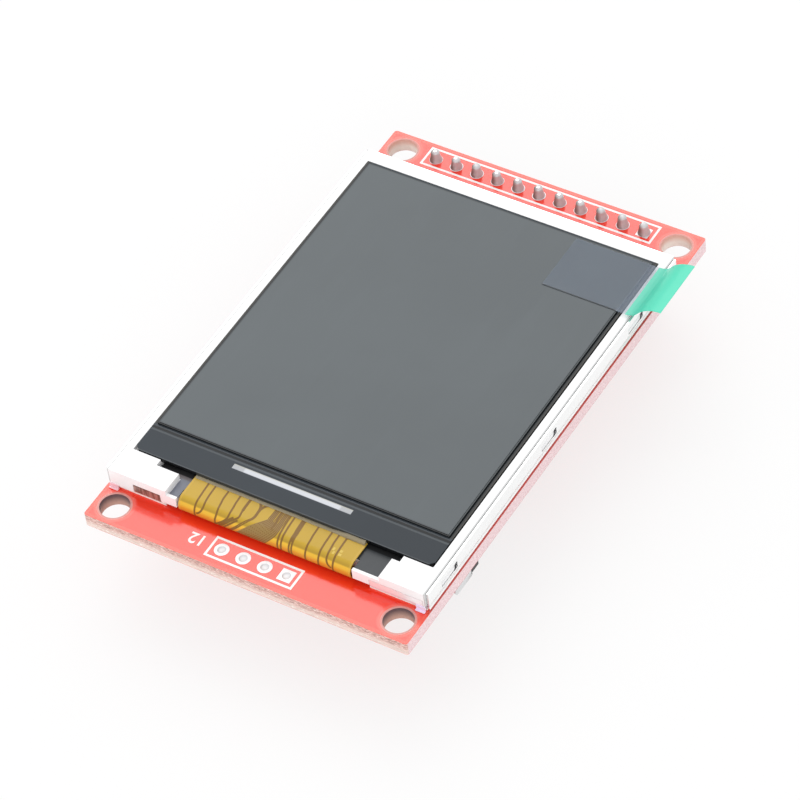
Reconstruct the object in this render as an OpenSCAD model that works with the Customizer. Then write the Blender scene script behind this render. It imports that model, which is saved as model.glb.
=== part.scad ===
// Small colour TFT display module on a carrier board.
// Origin: centre of the four mounting holes, on the back face of the board.
// +Z points towards the viewer of the screen, +Y towards the pin header.

/* [Board] */
// Width of the circuit board
board_w = 38; // [37.8:0.1:46]
// Length of the circuit board
board_l = 61; // [60:0.5:72]
// Thickness of the circuit board
board_t = 1.6; // [1:0.1:2]
// Diameter of the four mounting holes
mount_hole_d = 3.2; // [2.5:0.1:3.4]
// Distance of the mounting holes from both edges
mount_inset = 2.3; // [2:0.1:2.4]

/* [Header] */
// Distance between neighbouring pins, also for the spare pad row
pitch = 2.54; // [2.4:0.02:2.6]
// Distance of the pin row from the far edge of the board
header_inset = 2.04; // [1.7:0.02:2.3]
// Side of the square pins
pin_w = 0.64; // [0.5:0.02:0.7]
// Free length of the pins below their plastic strip
pin_mating_l = 5.9; // [4:0.1:8]
// Length of the pins that stands above the front of the board
pin_tail_l = 1.3; // [1.1:0.1:2]
// Height of the plastic strip
strip_h = 2.54; // [2:0.02:3]

/* [Spare pads] */
// Number of pads in the spare row
spare_pads = 4; // [2:1:6]
// Distance of the spare row from the near edge of the board
spare_inset = 2.22; // [1.8:0.02:2.4]

/* [Display] */
// Distance of the metal pan from the board's side edges
pan_side_gap = 0.15; // [0.05:0.05:1]
// Distance of the pan from the near edge of the board
pan_inset = 4.4; // [4.1:0.1:4.7]
// Distance of the pan from the far edge of the board
pan_far_gap = 5.8; // [5.4:0.1:7]
// Thickness of the pan's sheet metal
sheet_t = 0.2; // [0.15:0.01:0.25]
// Thickness of the double-sided tape under the pan
tape_t = 0.3; // [0.25:0.01:0.5]
// Distance of the glass plates from the pan's outer sides
glass_side_gap = 1.3; // [1.2:0.05:1.8]
// Thickness of each glass plate
glass_t = 0.55; // [0.45:0.01:0.7]
// Thickness of the light guide
guide_t = 0.64; // [0.6:0.01:0.8]
// Thickness of the front polarizer
polarizer_t = 0.2; // [0.1:0.01:0.25]

/* [Flex] */
// Width of the display flex
flex_w = 20.2; // [18:0.1:20.4]
// Thickness of the display flex
flex_t = 0.1; // [0.08:0.01:0.14]

/* [Card socket] */
// Width of the memory card socket, along the board
socket_w = 14.6; // [14.2:0.1:15]
// Length of the memory card socket, across the board
socket_l = 15.2; // [14.8:0.1:16]
// Height of the memory card socket
socket_h = 1.65; // [1.6:0.05:2.1]

/* [Pull tab] */
// Width of the pull tab
tab_w = 7.3; // [5:0.1:9]

/* [Hidden] */
$fn = 48;
// Small overshoot that makes cuts run through faces
cut = 1;

// Levels of the display stack, from the front of the board upwards
z_front = board_t;
z_pan = z_front + tape_t;
z_floor = z_pan + sheet_t;
reflector_t = 0.06;
diffuser_t = 0.06;
prism_t = 0.07;
z_guide = z_floor + reflector_t;
z_diffuser = z_guide + guide_t;
z_prism_a = z_diffuser + diffuser_t;
z_prism_b = z_prism_a + prism_t;
z_rim = z_prism_b + prism_t;
rim_tape_t = 0.06;
rear_polarizer_t = 0.14;
z_rear_polarizer = z_rim + rim_tape_t;
z_filter = z_rear_polarizer + rear_polarizer_t;
z_array = z_filter + glass_t;
z_screen = z_array + glass_t;
z_polarizer = z_screen + polarizer_t;
film_t = 0.05;
z_film = z_polarizer + film_t;
// The frame's top lies a little under the glass, the pan's walls a little lower
z_frame_top = z_screen - 0.1;
z_wall_top = z_frame_top - 0.15;

// Places along the board, from the pan's near edge
y_near = -board_l / 2;
y_far = board_l / 2;
y_pan = y_near + pan_inset;
pan_w = board_w - 2 * pan_side_gap;
pan_l = board_l - pan_inset - pan_far_gap;
y_header = y_far - header_inset;
y_spare = y_near + spare_inset;

// Glass: the array plate faces the viewer and its ledge reaches past the filter plate
array_inset = 3.5;
ledge_d = 3.4;
glass_far_gap = 1.8;
glass_fit = 0.1;
glass_corner = 0.5;
glass_w = pan_w - 2 * glass_side_gap;
y_array = y_pan + array_inset;
y_filter = y_array + ledge_d;
y_glass_end = y_pan + pan_l - glass_far_gap;
array_l = y_glass_end - y_array;
filter_l = y_glass_end - y_filter;
polarizer_margin = 0.4;
polarizer_w = glass_w - 2 * polarizer_margin;
rear_polarizer_w = polarizer_w;
film_inset = 0.15;

// Pan
bend_r = 0.45;
relief = 0.3;
pan_window_l = 3;
pan_window_h = 0.8;
pan_window_z = z_floor + 0.4;
near_window = 4.3;
far_window = 9;
pan_windows = [near_window, pan_l / 2 - pan_window_l / 2, pan_l - far_window];
far_windows = [-9, 9];
floor_gap_d = 1.6;

// Frame
frame_fit = 0.05;
frame_w = pan_w - 2 * (sheet_t + frame_fit);
frame_l = pan_l - sheet_t - frame_fit;
lip_t = 0.35;
lip_top = z_array - 0.15;
roof_z = z_diffuser + 0.05;
roof_top = z_array - 0.4;
recess_step_y = y_array - 0.9;
front_rise = 0.25;
bump_play = 0.1;

// Light guide, films and light source
guide_fit = 0.1;
guide_side_gap = 0.75;
guide_w = glass_w - 2 * guide_side_gap;
y_guide = y_array + 0.55;
guide_l = y_glass_end - y_guide - 0.2;
y_films = y_filter - 0.35;
film_l = y_guide + guide_l - y_films;
film_w = guide_w - guide_fit;
led_count = 4;
led_pitch = 6.4;
led_w = 3;
led_d = 0.9;
led_h = 0.55;
led_flex_t = 0.1;
led_flex_w = 26;
led_flex_d = 2.2;
block_tape_t = 0.1;
rim_tape_w = 1.1;

// Driver chip on the underside of the array plate's ledge
chip_w = 14;
chip_d = 0.62;
chip_h = 0.25;
chip_x = -0.2;
y_chip = y_filter - 0.7;

// Display flex: bonded under the ledge, bent round the near side, soldered to the board
flex_x = -0.1;
flex_bond_l = 1.2;
flex_gap = 0.05;
flex_play = 0.25;
z_flex_top = z_array;
z_flex_tail = z_front;
flex_r = (z_flex_top - z_flex_tail) / 2;
y_flex_bend = y_pan + flex_r - flex_gap;
flex_shoulder_w = 1.6;
flex_shoulder_l = 5;
flex_tail_l = 11.5;
flex_joints = 20;
flex_joint_pitch = 0.8;
flex_joint_w = 0.45;
flex_joint_l = 1.4;
bead_h = 0.4;
bead_d = 0.45;

// Recess over the chip and the flex, and the pan's two near tabs beside it
recess_left = flex_x - flex_w / 2 - 1.4;
recess_right = flex_x + flex_w / 2 + 3.4;
recess_half = recess_right + 0.9;
near_tab_gap = 0.8;
tab_left_w = 3.2;
tab_left_h = 1.3;
tab_left_x = recess_left - near_tab_gap - tab_left_w;
tab_right_x = recess_right - 1.2;
tab_right_w = pan_w / 2 - bend_r - 0.1 - tab_right_x;
tab_right_h = 1.2;

// Mounting tapes
tape_side_w = 6.6;
tape_far_gap = 0.5;
tape_margin = 0.25;
tape_far_l = 20;

// Header
pin_tip_l = 0.5;
pin_tip_w = 0.3;
strip_d = 2.5;
strip_chamfer = 0.5;
hole_d = 1.0;
plating_t = 0.035;
land_d = 1.7;
joint_h = 0.95;
joint_top_w = 1.05;
hole_margin = 1;
pin_room = board_w - 2 * (mount_inset + mount_hole_d / 2 + hole_margin) - land_d;
header_pins = floor(pin_room / pitch) + 1;

// Legend lines
line_w = 0.25;
ink_t = 0.02;
header_box_side = 1.35;
header_box_near = 1.25;
header_box_gap = 0.54;
spare_box_side = 1.35;
spare_box_deep = 1.35;

// Card socket, on the back with its mouth at the right edge
socket_edge_gap = 0.4;
x_socket_front = board_w / 2 - socket_edge_gap;
x_socket = x_socket_front - socket_l;
y_socket = y_near + 10.4;
shell_t = 0.2;
flank_w = 2.4;
scoop_d = 1.9;
base_floor_t = 0.35;
rail_w = 1.2;
rail_wide_w = 2.2;
base_back_t = 1;
contact_count = 8;
contact_pitch = 1.1;
contact_w = 0.5;
contact_t = 0.15;
contact_l = 6.5;
contact_rise = 0.8;
contact_foot_l = 0.9;
shell_foot_w = 1.2;
shell_foot_l = 0.7;

// Small parts on the back: x, y of each part's centre
chip_part_l = 2;
chip_part_w = 1.25;
chip_part_h = 0.55;
chip_cap_l = 0.4;
resistor_x = [-14.5, -11.5, -8.5, -5.5, -2.5, 0.5];
resistor_y = y_header - 19.96;
capacitor_x = [-13.6, -4.4];
capacitor_y = y_header - 11.46;
regulator_x = -9;
regulator_y = capacitor_y;
regulator_w = 2.9;
regulator_d = 1.6;
regulator_h = 1.1;
lead_w = 0.42;
lead_t = 0.15;
lead_reach = 0.55;
lead_pitch = 0.95;

// Pull tab, stuck to the protective film
tab_t = 0.05;
tab_clear_l = 9.8;
tab_far_gap = 0.7;
tab_y = y_glass_end - tab_far_gap - tab_w;
tab_rise_r = 1.8;
tab_rise_a = 52;
tab_level_r = 3.6;
tab_join_a = 0.3;
tab_overhang = 0.6;
x_tab_end = glass_w / 2 + tab_overhang;

PINS = [for (i = [1 : header_pins]) str("header_pin_", i)];
LEDS = [for (i = [1 : led_count]) str("led_", i)];
RESISTORS = [for (i = [1 : len(resistor_x)]) str("resistor_", i)];
CAPACITORS = [for (i = [1 : len(capacitor_x)]) str("capacitor_", i)];

// ---- helpers -------------------------------------------------------------

// Rectangle with round corners, from exact circles
module round_rect(w, l, r) {
    translate([-w / 2 + r, -l / 2]) square([w - 2 * r, l]);
    translate([-w / 2, -l / 2 + r]) square([w, l - 2 * r]);
    for (sx = [-1, 1], sy = [-1, 1])
        translate([sx * (w / 2 - r), sy * (l / 2 - r)]) circle(r);
}

// Plate centred on x, starting at y0, between two levels
module plate(w, y0, l, z0, t) {
    translate([-w / 2, y0, z0]) cube([w, l, t]);
}

// Box between two corners
module box(a, b) {
    translate(a) cube(b - a);
}

// Section of a thin strip bent from angle a0 to a1 about the origin, its middle at radius r
module bent_strip(r, t, a0, a1) {
    reach = 2 * (r + t);
    intersection() {
        difference() {
            circle(r + t / 2);
            circle(r - t / 2);
        }
        polygon([[0, 0], for (a = [a0 : (a1 - a0) / 4 : a1]) reach * [cos(a), sin(a)]]);
    }
}

// Extrudes a section drawn in (y, z) along x, centred
module along_x(w) {
    rotate([90, 0, 90]) linear_extrude(w, center = true) children();
}

// Extrudes a section drawn in (x, z) along y, starting at y0
module along_y(y0, l) {
    translate([0, y0 + l, 0]) rotate([90, 0, 0]) linear_extrude(l) children();
}

function row_x(i, count, step) = (i - (count + 1) / 2) * step;

// ---- circuit board -------------------------------------------------------

module mount_holes() {
    for (sx = [-1, 1], sy = [-1, 1])
        translate([sx * (board_w / 2 - mount_inset), sy * (board_l / 2 - mount_inset), -cut])
            cylinder(d = mount_hole_d, h = board_t + 2 * cut);
}

module circuit_board() {
    color("crimson") difference() {
        linear_extrude(board_t) round_rect(board_w, board_l, 0.3);
        mount_holes();
        for (i = [1 : header_pins])
            translate([row_x(i, header_pins, pitch), y_header, -cut])
                cylinder(d = hole_d + 2 * plating_t, h = board_t + 2 * cut);
        for (i = [1 : spare_pads])
            translate([row_x(i, spare_pads, pitch), y_spare, -cut])
                cylinder(d = hole_d + 2 * plating_t, h = board_t + 2 * cut);
    }
}

// Plated hole with a land on each face; the last land of a row is square
module land(square_land) {
    difference() {
        union() {
            cylinder(d = hole_d + 2 * plating_t, h = board_t);
            for (z = [-plating_t, board_t]) translate([0, 0, z]) {
                if (square_land)
                    translate([-land_d / 2, -land_d / 2, 0]) cube([land_d, land_d, plating_t]);
                else
                    cylinder(d = land_d, h = plating_t);
            }
        }
        translate([0, 0, -cut]) cylinder(d = hole_d, h = board_t + 2 * cut);
    }
}

module header_lands() {
    color("gold") for (i = [1 : header_pins])
        translate([row_x(i, header_pins, pitch), y_header, 0]) land(i == header_pins);
}

module spare_lands() {
    color("silver") for (i = [1 : spare_pads])
        translate([row_x(i, spare_pads, pitch), y_spare, 0]) land(i == spare_pads);
}

module outline_box(x0, y0, x1, y1) {
    translate([0, 0, z_front]) linear_extrude(ink_t) difference() {
        translate([x0, y0]) square([x1 - x0, y1 - y0]);
        translate([x0 + line_w, y0 + line_w]) square([x1 - x0 - 2 * line_w, y1 - y0 - 2 * line_w]);
    }
}

module legend_lines() {
    header_half = header_pins * pitch / 2 + header_box_side - pitch / 2;
    spare_half = spare_pads * pitch / 2 + spare_box_side - pitch / 2;
    color("white") {
        outline_box(-header_half, y_header - header_box_near,
                    header_half, y_far - header_box_gap);
        outline_box(-spare_half, y_spare - spare_box_deep, spare_half, y_spare + spare_box_deep);
    }
}

// ---- pin header ----------------------------------------------------------

// Square pin with a four-sided taper at both ends
module pin_outline() {
    bottom = -(strip_h + pin_mating_l);
    top = board_t + pin_tail_l;
    polygon([[-pin_w / 2, bottom + pin_tip_l], [-pin_tip_w / 2, bottom], [pin_tip_w / 2, bottom],
             [pin_w / 2, bottom + pin_tip_l], [pin_w / 2, top - pin_tip_l], [pin_tip_w / 2, top],
             [-pin_tip_w / 2, top], [-pin_w / 2, top - pin_tip_l]]);
}

module header_pin(i) {
    color("goldenrod") translate([row_x(i, header_pins, pitch), y_header, 0]) intersection() {
        rotate([90, 0, 0]) linear_extrude(pin_w, center = true) pin_outline();
        rotate([90, 0, 90]) linear_extrude(pin_w, center = true) pin_outline();
    }
}

module header_strip() {
    half_w = pitch / 2;
    half_d = strip_d / 2;
    c = strip_chamfer;
    color([0.12, 0.12, 0.13]) difference() {
        translate([0, y_header, -strip_h]) linear_extrude(strip_h - plating_t)
            for (i = [1 : header_pins]) translate([row_x(i, header_pins, pitch), 0])
                polygon([[-half_w, -half_d + c], [-half_w + c, -half_d], [half_w - c, -half_d],
                         [half_w, -half_d + c], [half_w, half_d - c], [half_w - c, half_d],
                         [-half_w + c, half_d], [-half_w, half_d - c]]);
        for (i = [1 : header_pins])
            translate([row_x(i, header_pins, pitch) - pin_w / 2, y_header - pin_w / 2, -strip_h - cut])
                cube([pin_w, pin_w, strip_h + 2 * cut]);
    }
}

// Solder that fills the plated hole and rises round the pin in a hollow cone
module solder_joint() {
    foot = land_d / 2 - 0.08;
    top = joint_top_w / 2;
    rise = joint_h;
    difference() {
        union() {
            cylinder(d = hole_d, h = board_t + plating_t);
            translate([0, 0, board_t + plating_t]) rotate_extrude() difference() {
                square([foot, rise]);
                translate([foot, rise]) polygon([[0, 0], [top - foot, 0],
                    [(top - foot) * 0.85, -rise * 0.35], [(top - foot) * 0.45, -rise * 0.75], [0, -rise * 0.95]]);
            }
        }
        translate([-pin_w / 2, -pin_w / 2, -cut]) cube([pin_w, pin_w, board_t + joint_h + 3 * cut]);
    }
}

module header_solder() {
    color("silver") difference() {
        for (i = [1 : header_pins]) translate([row_x(i, header_pins, pitch), y_header, 0]) solder_joint();
        // the pins' tapered tips stay free of solder
        translate([-board_w, y_header - board_w / 2, board_t + pin_tail_l - pin_tip_l])
            cube([2 * board_w, board_w, cut]);
    }
}

// ---- metal pan -----------------------------------------------------------

// Section of the folded sheet: floor towards +x, wall towards +y, outer corner at the origin
module fold_section(run, rise) {
    translate([bend_r, 0]) square([run - bend_r, sheet_t]);
    translate([0, bend_r]) square([sheet_t, rise - bend_r]);
    intersection() {
        translate([bend_r, bend_r]) difference() {
            circle(bend_r);
            circle(bend_r - sheet_t);
        }
        square(bend_r);
    }
}

module side_fold(side) {
    wall_l = pan_l - 2 * relief;
    mirror([side < 0 ? 1 : 0, 0, 0]) translate([pan_w / 2, 0, z_pan]) mirror([1, 0, 0])
        along_y(y_pan + relief, wall_l) fold_section(pan_w / 4, z_wall_top - z_pan);
}

module far_fold() {
    translate([0, y_pan + pan_l, z_pan]) mirror([0, 1, 0])
        along_x(pan_w - 2 * bend_r) fold_section(pan_l / 4, z_wall_top - z_pan);
}

module near_tab(x0, w, h) {
    translate([x0 + w / 2, y_pan, z_pan]) along_x(w) fold_section(pan_l / 8, h);
}

// Window opening in a side wall, shared with the frame's snap bumps
module window_box(w, l, h, side, y) {
    translate([side * pan_w / 2 - w, y - l / 2, pan_window_z]) cube([2 * w, l, h]);
}

module metal_pan() {
    color([0.86, 0.87, 0.88]) difference() {
        union() {
            plate(pan_w - 2 * bend_r, y_pan + relief, pan_l - relief - bend_r, z_pan, sheet_t);
            side_fold(-1);
            side_fold(1);
            far_fold();
            near_tab(tab_left_x, tab_left_w, tab_left_h);
            near_tab(tab_right_x, tab_right_w, tab_right_h);
        }
        // room for the flex at the near side
        box([recess_left, y_pan - cut, z_pan - cut],
            [tab_right_x - relief, y_pan + floor_gap_d, z_floor + cut / 2]);
        for (side = [-1, 1], y = pan_windows)
            window_box(sheet_t + frame_fit / 2, pan_window_l, pan_window_h, side, y_pan + y);
        for (x = far_windows)
            translate([x - pan_window_l / 2, y_pan + pan_l - 2 * sheet_t, pan_window_z])
                cube([pan_window_l, 4 * sheet_t, pan_window_h]);
    }
}

// ---- backlight -----------------------------------------------------------

// Snap bump with a sloping top that sits in a window of the pan
module snap_bump() {
    reach = frame_fit + sheet_t - 0.05;
    h = pan_window_h - 2 * bump_play;
    l = pan_window_l - 2 * bump_play;
    translate([-frame_fit, 0, 0]) along_y(-l / 2, l)
        polygon([[0, 0], [reach + frame_fit, 0], [reach + frame_fit, h * 0.4], [0, h]]);
}

module frame_block() {
    plate(frame_w, y_pan, frame_l, z_floor, z_frame_top - z_floor);
    for (side = [-1, 1], y = pan_windows)
        translate([side * frame_w / 2, y_pan + y, pan_window_z + bump_play])
            mirror([side < 0 ? 1 : 0, 0, 0]) snap_bump();
    for (x = far_windows)
        translate([x, y_pan + frame_l, pan_window_z + bump_play]) rotate([0, 0, 90]) snap_bump();
}

module backlight_frame() {
    top = z_frame_top + cut;
    glass_half = glass_w / 2 + glass_fit;
    guide_half = guide_w / 2 + guide_fit;
    y_glass_wall = y_glass_end + glass_fit;
    flex_half = flex_w / 2 + flex_play;
    led_half = led_flex_w / 2 + guide_fit;
    y_guide_end = y_guide + guide_l + guide_fit;
    corner = bend_r - sheet_t;
    color("white") difference() {
        frame_block();
        // seats of the array plate and, lower, of the filter plate
        box([-glass_half, y_array - glass_fit, z_array], [glass_half, y_glass_wall, top]);
        box([-glass_half, y_filter - glass_fit, z_rim], [glass_half, y_glass_wall, top]);
        // light opening, and the guide's room under the roof
        box([-guide_half, y_films - guide_fit, z_floor - cut], [guide_half, y_guide_end, top]);
        box([-guide_half, y_guide - guide_fit, z_floor - cut], [guide_half, y_guide_end, roof_z]);
        // room for the light source
        box([-led_half, y_guide - led_flex_d - 2 * guide_fit, z_floor - cut], [led_half, y_guide, roof_z]);
        // stepped recess over the chip and the flex
        box([-recess_half, recess_step_y, roof_top], [recess_half, y_filter, top]);
        box([recess_left, y_pan + lip_t, roof_top], [recess_right, y_filter, top]);
        box([recess_left, y_pan - cut, lip_top], [recess_right, y_filter, top]);
        // gap in the near wall where the flex turns down
        box([flex_x - flex_half, y_pan - cut, z_floor - cut], [flex_x + flex_half, y_pan + floor_gap_d, top]);
        // raised underside between the two metal tabs, and their seats
        box([tab_left_x + tab_left_w, y_pan - cut, z_floor - cut],
            [tab_right_x, y_pan + floor_gap_d, z_floor + front_rise]);
        tab_seat(tab_left_x, tab_left_w, tab_left_h);
        tab_seat(tab_right_x, tab_right_w, tab_right_h);
        // lower edges clear the inside of the pan's folds
        for (side = [-1, 1])
            translate([side * frame_w / 2, y_pan - cut, z_floor]) rotate([-90, 0, 0])
                cylinder(r = corner, h = frame_l + 2 * cut, $fn = 4);
        translate([0, y_pan + frame_l, z_floor]) rotate([0, 90, 0])
            cylinder(r = corner, h = pan_w, center = true, $fn = 4);
    }
}

module tab_seat(x0, w, h) {
    box([x0 - frame_fit, y_pan - cut, z_floor - cut],
        [x0 + w + frame_fit, y_pan + bend_r + frame_fit, z_pan + bend_r]);
    box([x0 - frame_fit, y_pan - cut, z_floor - cut],
        [x0 + w + frame_fit, y_pan + sheet_t + frame_fit, z_pan + h + frame_fit]);
}

module reflector() {
    color("whitesmoke") plate(guide_w, y_guide + 0.05, guide_l - 0.05, z_floor, reflector_t);
}

module light_guide() {
    color([0.85, 0.93, 0.97]) plate(guide_w, y_guide, guide_l, z_guide, guide_t);
}

module diffuser() {
    color("white") plate(film_w, y_films, film_l, z_diffuser, diffuser_t);
}

module prism_sheet_lower() {
    color("lightgray") plate(film_w, y_films, film_l, z_prism_a, prism_t);
}

module prism_sheet_upper() {
    color("gainsboro") plate(film_w, y_films, film_l, z_prism_b, prism_t);
}

module led_flex() {
    color("orange") plate(led_flex_w, y_guide - guide_fit - led_flex_d, led_flex_d, z_floor, led_flex_t);
}

// Side-emitting lamp: white housing with a shallow yellow window towards the guide
module led(i) {
    y0 = y_guide - guide_fit - led_d;
    z0 = z_floor + led_flex_t;
    color("lightyellow") translate([row_x(i, led_count, led_pitch), 0, 0]) difference() {
        plate(led_w, y0, led_d, z0, led_h);
        plate(led_w - 0.8, y0 + led_d - 0.25, 0.25 + cut, z0 + 0.1, led_h - 0.2);
    }
}

module light_block_tape() {
    color("dimgray") difference() {
        union() {
            box([-recess_half + guide_fit, recess_step_y + guide_fit, roof_top],
                [recess_half - guide_fit, y_films - guide_fit, roof_top + block_tape_t]);
            box([recess_left + guide_fit, y_pan + lip_t, roof_top],
                [recess_right - guide_fit, y_films - guide_fit, roof_top + block_tape_t]);
        }
        box([flex_x - flex_w / 2 - flex_play, y_pan - cut, roof_top - cut],
            [flex_x + flex_w / 2 + flex_play, y_pan + floor_gap_d, z_screen]);
    }
}

module rim_tape() {
    outer_w = rear_polarizer_w;
    y1 = y_glass_end - polarizer_margin;
    color([0.1, 0.1, 0.1]) difference() {
        box([-outer_w / 2, y_filter, z_rim], [outer_w / 2, y1, z_rim + rim_tape_t]);
        box([-outer_w / 2 + rim_tape_w, y_filter + polarizer_margin + rim_tape_w, z_rim - cut],
            [outer_w / 2 - rim_tape_w, y1 - rim_tape_w, z_rim + cut]);
    }
}

// ---- glass ---------------------------------------------------------------

module rear_polarizer() {
    color([0.35, 0.37, 0.4]) plate(rear_polarizer_w, y_filter + polarizer_margin,
                                   filter_l - 2 * polarizer_margin, z_rear_polarizer, rear_polarizer_t);
}

module filter_glass() {
    color([0.5, 0.62, 0.62]) plate(glass_w, y_filter, filter_l, z_filter, glass_t);
}

// The two corners of the ledge are cut off
module array_glass() {
    half = glass_w / 2;
    color([0.35, 0.38, 0.4]) translate([0, y_array, z_array]) linear_extrude(glass_t)
        polygon([[-half + glass_corner, 0], [half - glass_corner, 0], [half, glass_corner],
                 [half, array_l], [-half, array_l], [-half, glass_corner]]);
}

module front_polarizer() {
    color([0.4, 0.43, 0.44]) plate(polarizer_w, y_filter + polarizer_margin,
                                   filter_l - 2 * polarizer_margin, z_screen, polarizer_t);
}

module driver_chip() {
    color("silver") translate([chip_x, 0, 0])
        plate(chip_w, y_chip - chip_d, chip_d, z_array - chip_h, chip_h);
}

module protective_film() {
    color([0.44, 0.47, 0.48]) plate(polarizer_w - 2 * film_inset, y_filter + polarizer_margin + film_inset,
                                    filter_l - 2 * polarizer_margin - 2 * film_inset, z_polarizer, film_t);
}

// ---- display flex --------------------------------------------------------

module flex_section() {
    z_mid = (z_flex_top + z_flex_tail) / 2;
    r_mid = flex_r - flex_t / 2;
    y_bond_end = y_array + flex_bond_l;
    translate([y_flex_bend, z_flex_top - flex_t]) square([y_bond_end - y_flex_bend, flex_t]);
    translate([y_flex_bend, z_flex_tail]) square([flex_shoulder_l, flex_t]);
    translate([y_flex_bend, z_mid]) bent_strip(r_mid, flex_t, 90, 270);
}

module display_flex() {
    y_shoulder = y_flex_bend + flex_shoulder_l;
    tail_half = flex_w / 2 - flex_shoulder_w;
    color([0.82, 0.68, 0.3]) union() {
        translate([flex_x, 0, 0]) along_x(flex_w) flex_section();
        translate([flex_x, y_shoulder, z_flex_tail]) linear_extrude(flex_t)
            polygon([[-flex_w / 2, 0], [flex_w / 2, 0], [tail_half, flex_shoulder_w],
                     [tail_half, flex_tail_l - flex_shoulder_l],
                     [-tail_half, flex_tail_l - flex_shoulder_l], [-tail_half, flex_shoulder_w]]);
    }
}

// Clear bead of adhesive along the glass edge, on top of the flex
module flex_bead() {
    color([0.7, 0.66, 0.55]) translate([flex_x, y_array, z_array]) along_x(flex_w - 0.2)
        difference() {
            translate([-bead_d, 0]) square([bead_d, bead_h]);
            translate([-bead_d, bead_h]) scale([bead_d / bead_h, 1]) circle(bead_h);
        }
}

// Row of joints between the end of the flex and the board
module flex_solder() {
    y_end = y_flex_bend + flex_tail_l;
    color("silver") for (i = [1 : flex_joints])
        translate([flex_x + row_x(i, flex_joints, flex_joint_pitch), y_end, z_front])
            along_x(flex_joint_w) polygon([[0, 0], [flex_joint_l, 0], [flex_joint_l * 0.6, 0.14], [0, 0.2]]);
}

// ---- mounting tapes ------------------------------------------------------

module tape_side(side) {
    x_outer = side * (pan_w / 2 - tape_margin);
    x_inner = side * (pan_w / 2 - tape_margin - tape_side_w);
    box([min(x_outer, x_inner), y_pan + tape_margin, z_front],
        [max(x_outer, x_inner), y_pan + pan_l - tape_margin, z_pan]);
}

module tape_left() {
    color("ivory") tape_side(-1);
}

module tape_right() {
    color("ivory") tape_side(1);
}

module tape_far() {
    half = pan_w / 2 - tape_margin - tape_side_w - tape_far_gap;
    color("ivory") box([-half, y_pan + pan_l - tape_margin - tape_far_l, z_front],
                       [half, y_pan + pan_l - tape_margin, z_pan]);
}

// ---- pull tab ------------------------------------------------------------

module pull_tab_clear() {
    color([0.5, 0.54, 0.57]) box([x_tab_end - tab_clear_l, tab_y, z_film], [x_tab_end, tab_y + tab_w, z_film + tab_t]);
}

// The tab lifts off the screen's edge, rises in a curve and levels out
module tab_section() {
    z_mid = tab_t / 2;
    rise_x = tab_rise_r * sin(tab_rise_a);
    rise_z = tab_rise_r * (1 - cos(tab_rise_a));
    level_x = rise_x - tab_level_r * sin(tab_rise_a);
    level_z = rise_z - tab_level_r * cos(tab_rise_a);
    translate([0, z_mid + tab_rise_r]) bent_strip(tab_rise_r, tab_t, -90, -90 + tab_rise_a + tab_join_a);
    translate([level_x + 2 * tab_level_r * sin(tab_rise_a), z_mid + level_z])
        mirror([1, 0]) bent_strip(tab_level_r, tab_t, 90 - tab_rise_a, 90);
}

module pull_tab_green() {
    color([0.45, 0.9, 0.8]) translate([x_tab_end, 0, z_film]) along_y(tab_y, tab_w) tab_section();
}

// ---- memory card socket --------------------------------------------------

// The socket is drawn with its foot on z = 0 and turned under the board
module under_board() {
    translate([x_socket, y_socket, 0]) mirror([0, 0, 1]) children();
}

module card_shell() {
    color([0.8, 0.82, 0.84]) under_board() union() {
        difference() {
            cube([socket_l, socket_w, socket_h]);
            translate([-cut, shell_t, -cut]) cube([socket_l + 2 * cut, socket_w - 2 * shell_t, socket_h - shell_t + cut]);
            // the front edge is set back beside the flank, so that a finger reaches the card
            translate([socket_l - scoop_d, flank_w, -cut]) cube([scoop_d + cut, socket_w, socket_h + 2 * cut]);
            // slots that free the two hold-down springs
            for (y = [socket_w * 0.32, socket_w * 0.68]) for (s = [-1, 1])
                translate([socket_l * 0.35, y + s * 0.9 - 0.15, socket_h - shell_t - cut])
                    cube([4.2, 0.3, shell_t + 2 * cut]);
            for (y = [socket_w * 0.32, socket_w * 0.68])
                translate([socket_l * 0.35, y - 0.9, socket_h - shell_t - cut])
                    cube([0.3, 1.8, shell_t + 2 * cut]);
        }
        for (x = [1.2, socket_l - scoop_d - shell_foot_w - 0.6]) {
            translate([x, -shell_foot_l, 0]) cube([shell_foot_w, shell_foot_l, shell_t]);
            translate([x, socket_w, 0]) cube([shell_foot_w, shell_foot_l, shell_t]);
        }
    }
}

module card_base() {
    inner_w = socket_w - 2 * shell_t;
    inner_h = socket_h - shell_t;
    color([0.13, 0.12, 0.12]) under_board() difference() {
        translate([0.1, shell_t, 0]) cube([socket_l - 0.35, inner_w, inner_h]);
        // room for the card, open at the mouth
        translate([base_back_t, shell_t + rail_wide_w, base_floor_t])
            cube([socket_l, inner_w - rail_w - rail_wide_w, inner_h]);
        // scoop at the mouth
        translate([socket_l - scoop_d + 0.4, flank_w + 0.8, -cut]) cube([scoop_d, socket_w, socket_h + cut]);
        // slots for the contact springs
        for (i = [1 : contact_count])
            translate([-cut, contact_y(i) - contact_w / 2 - 0.1, -cut])
                cube([contact_l + 0.4 + cut, contact_w + 0.2, base_floor_t + cut + 0.01]);
        for (i = [1 : contact_count])
            translate([-cut, contact_y(i) - contact_w / 2 - 0.1, -cut])
                cube([base_back_t + 2 * cut, contact_w + 0.2, base_floor_t + cut]);
    }
}

function contact_y(i) = shell_t + rail_wide_w + 1.2 + (i - 1) * contact_pitch;

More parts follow.
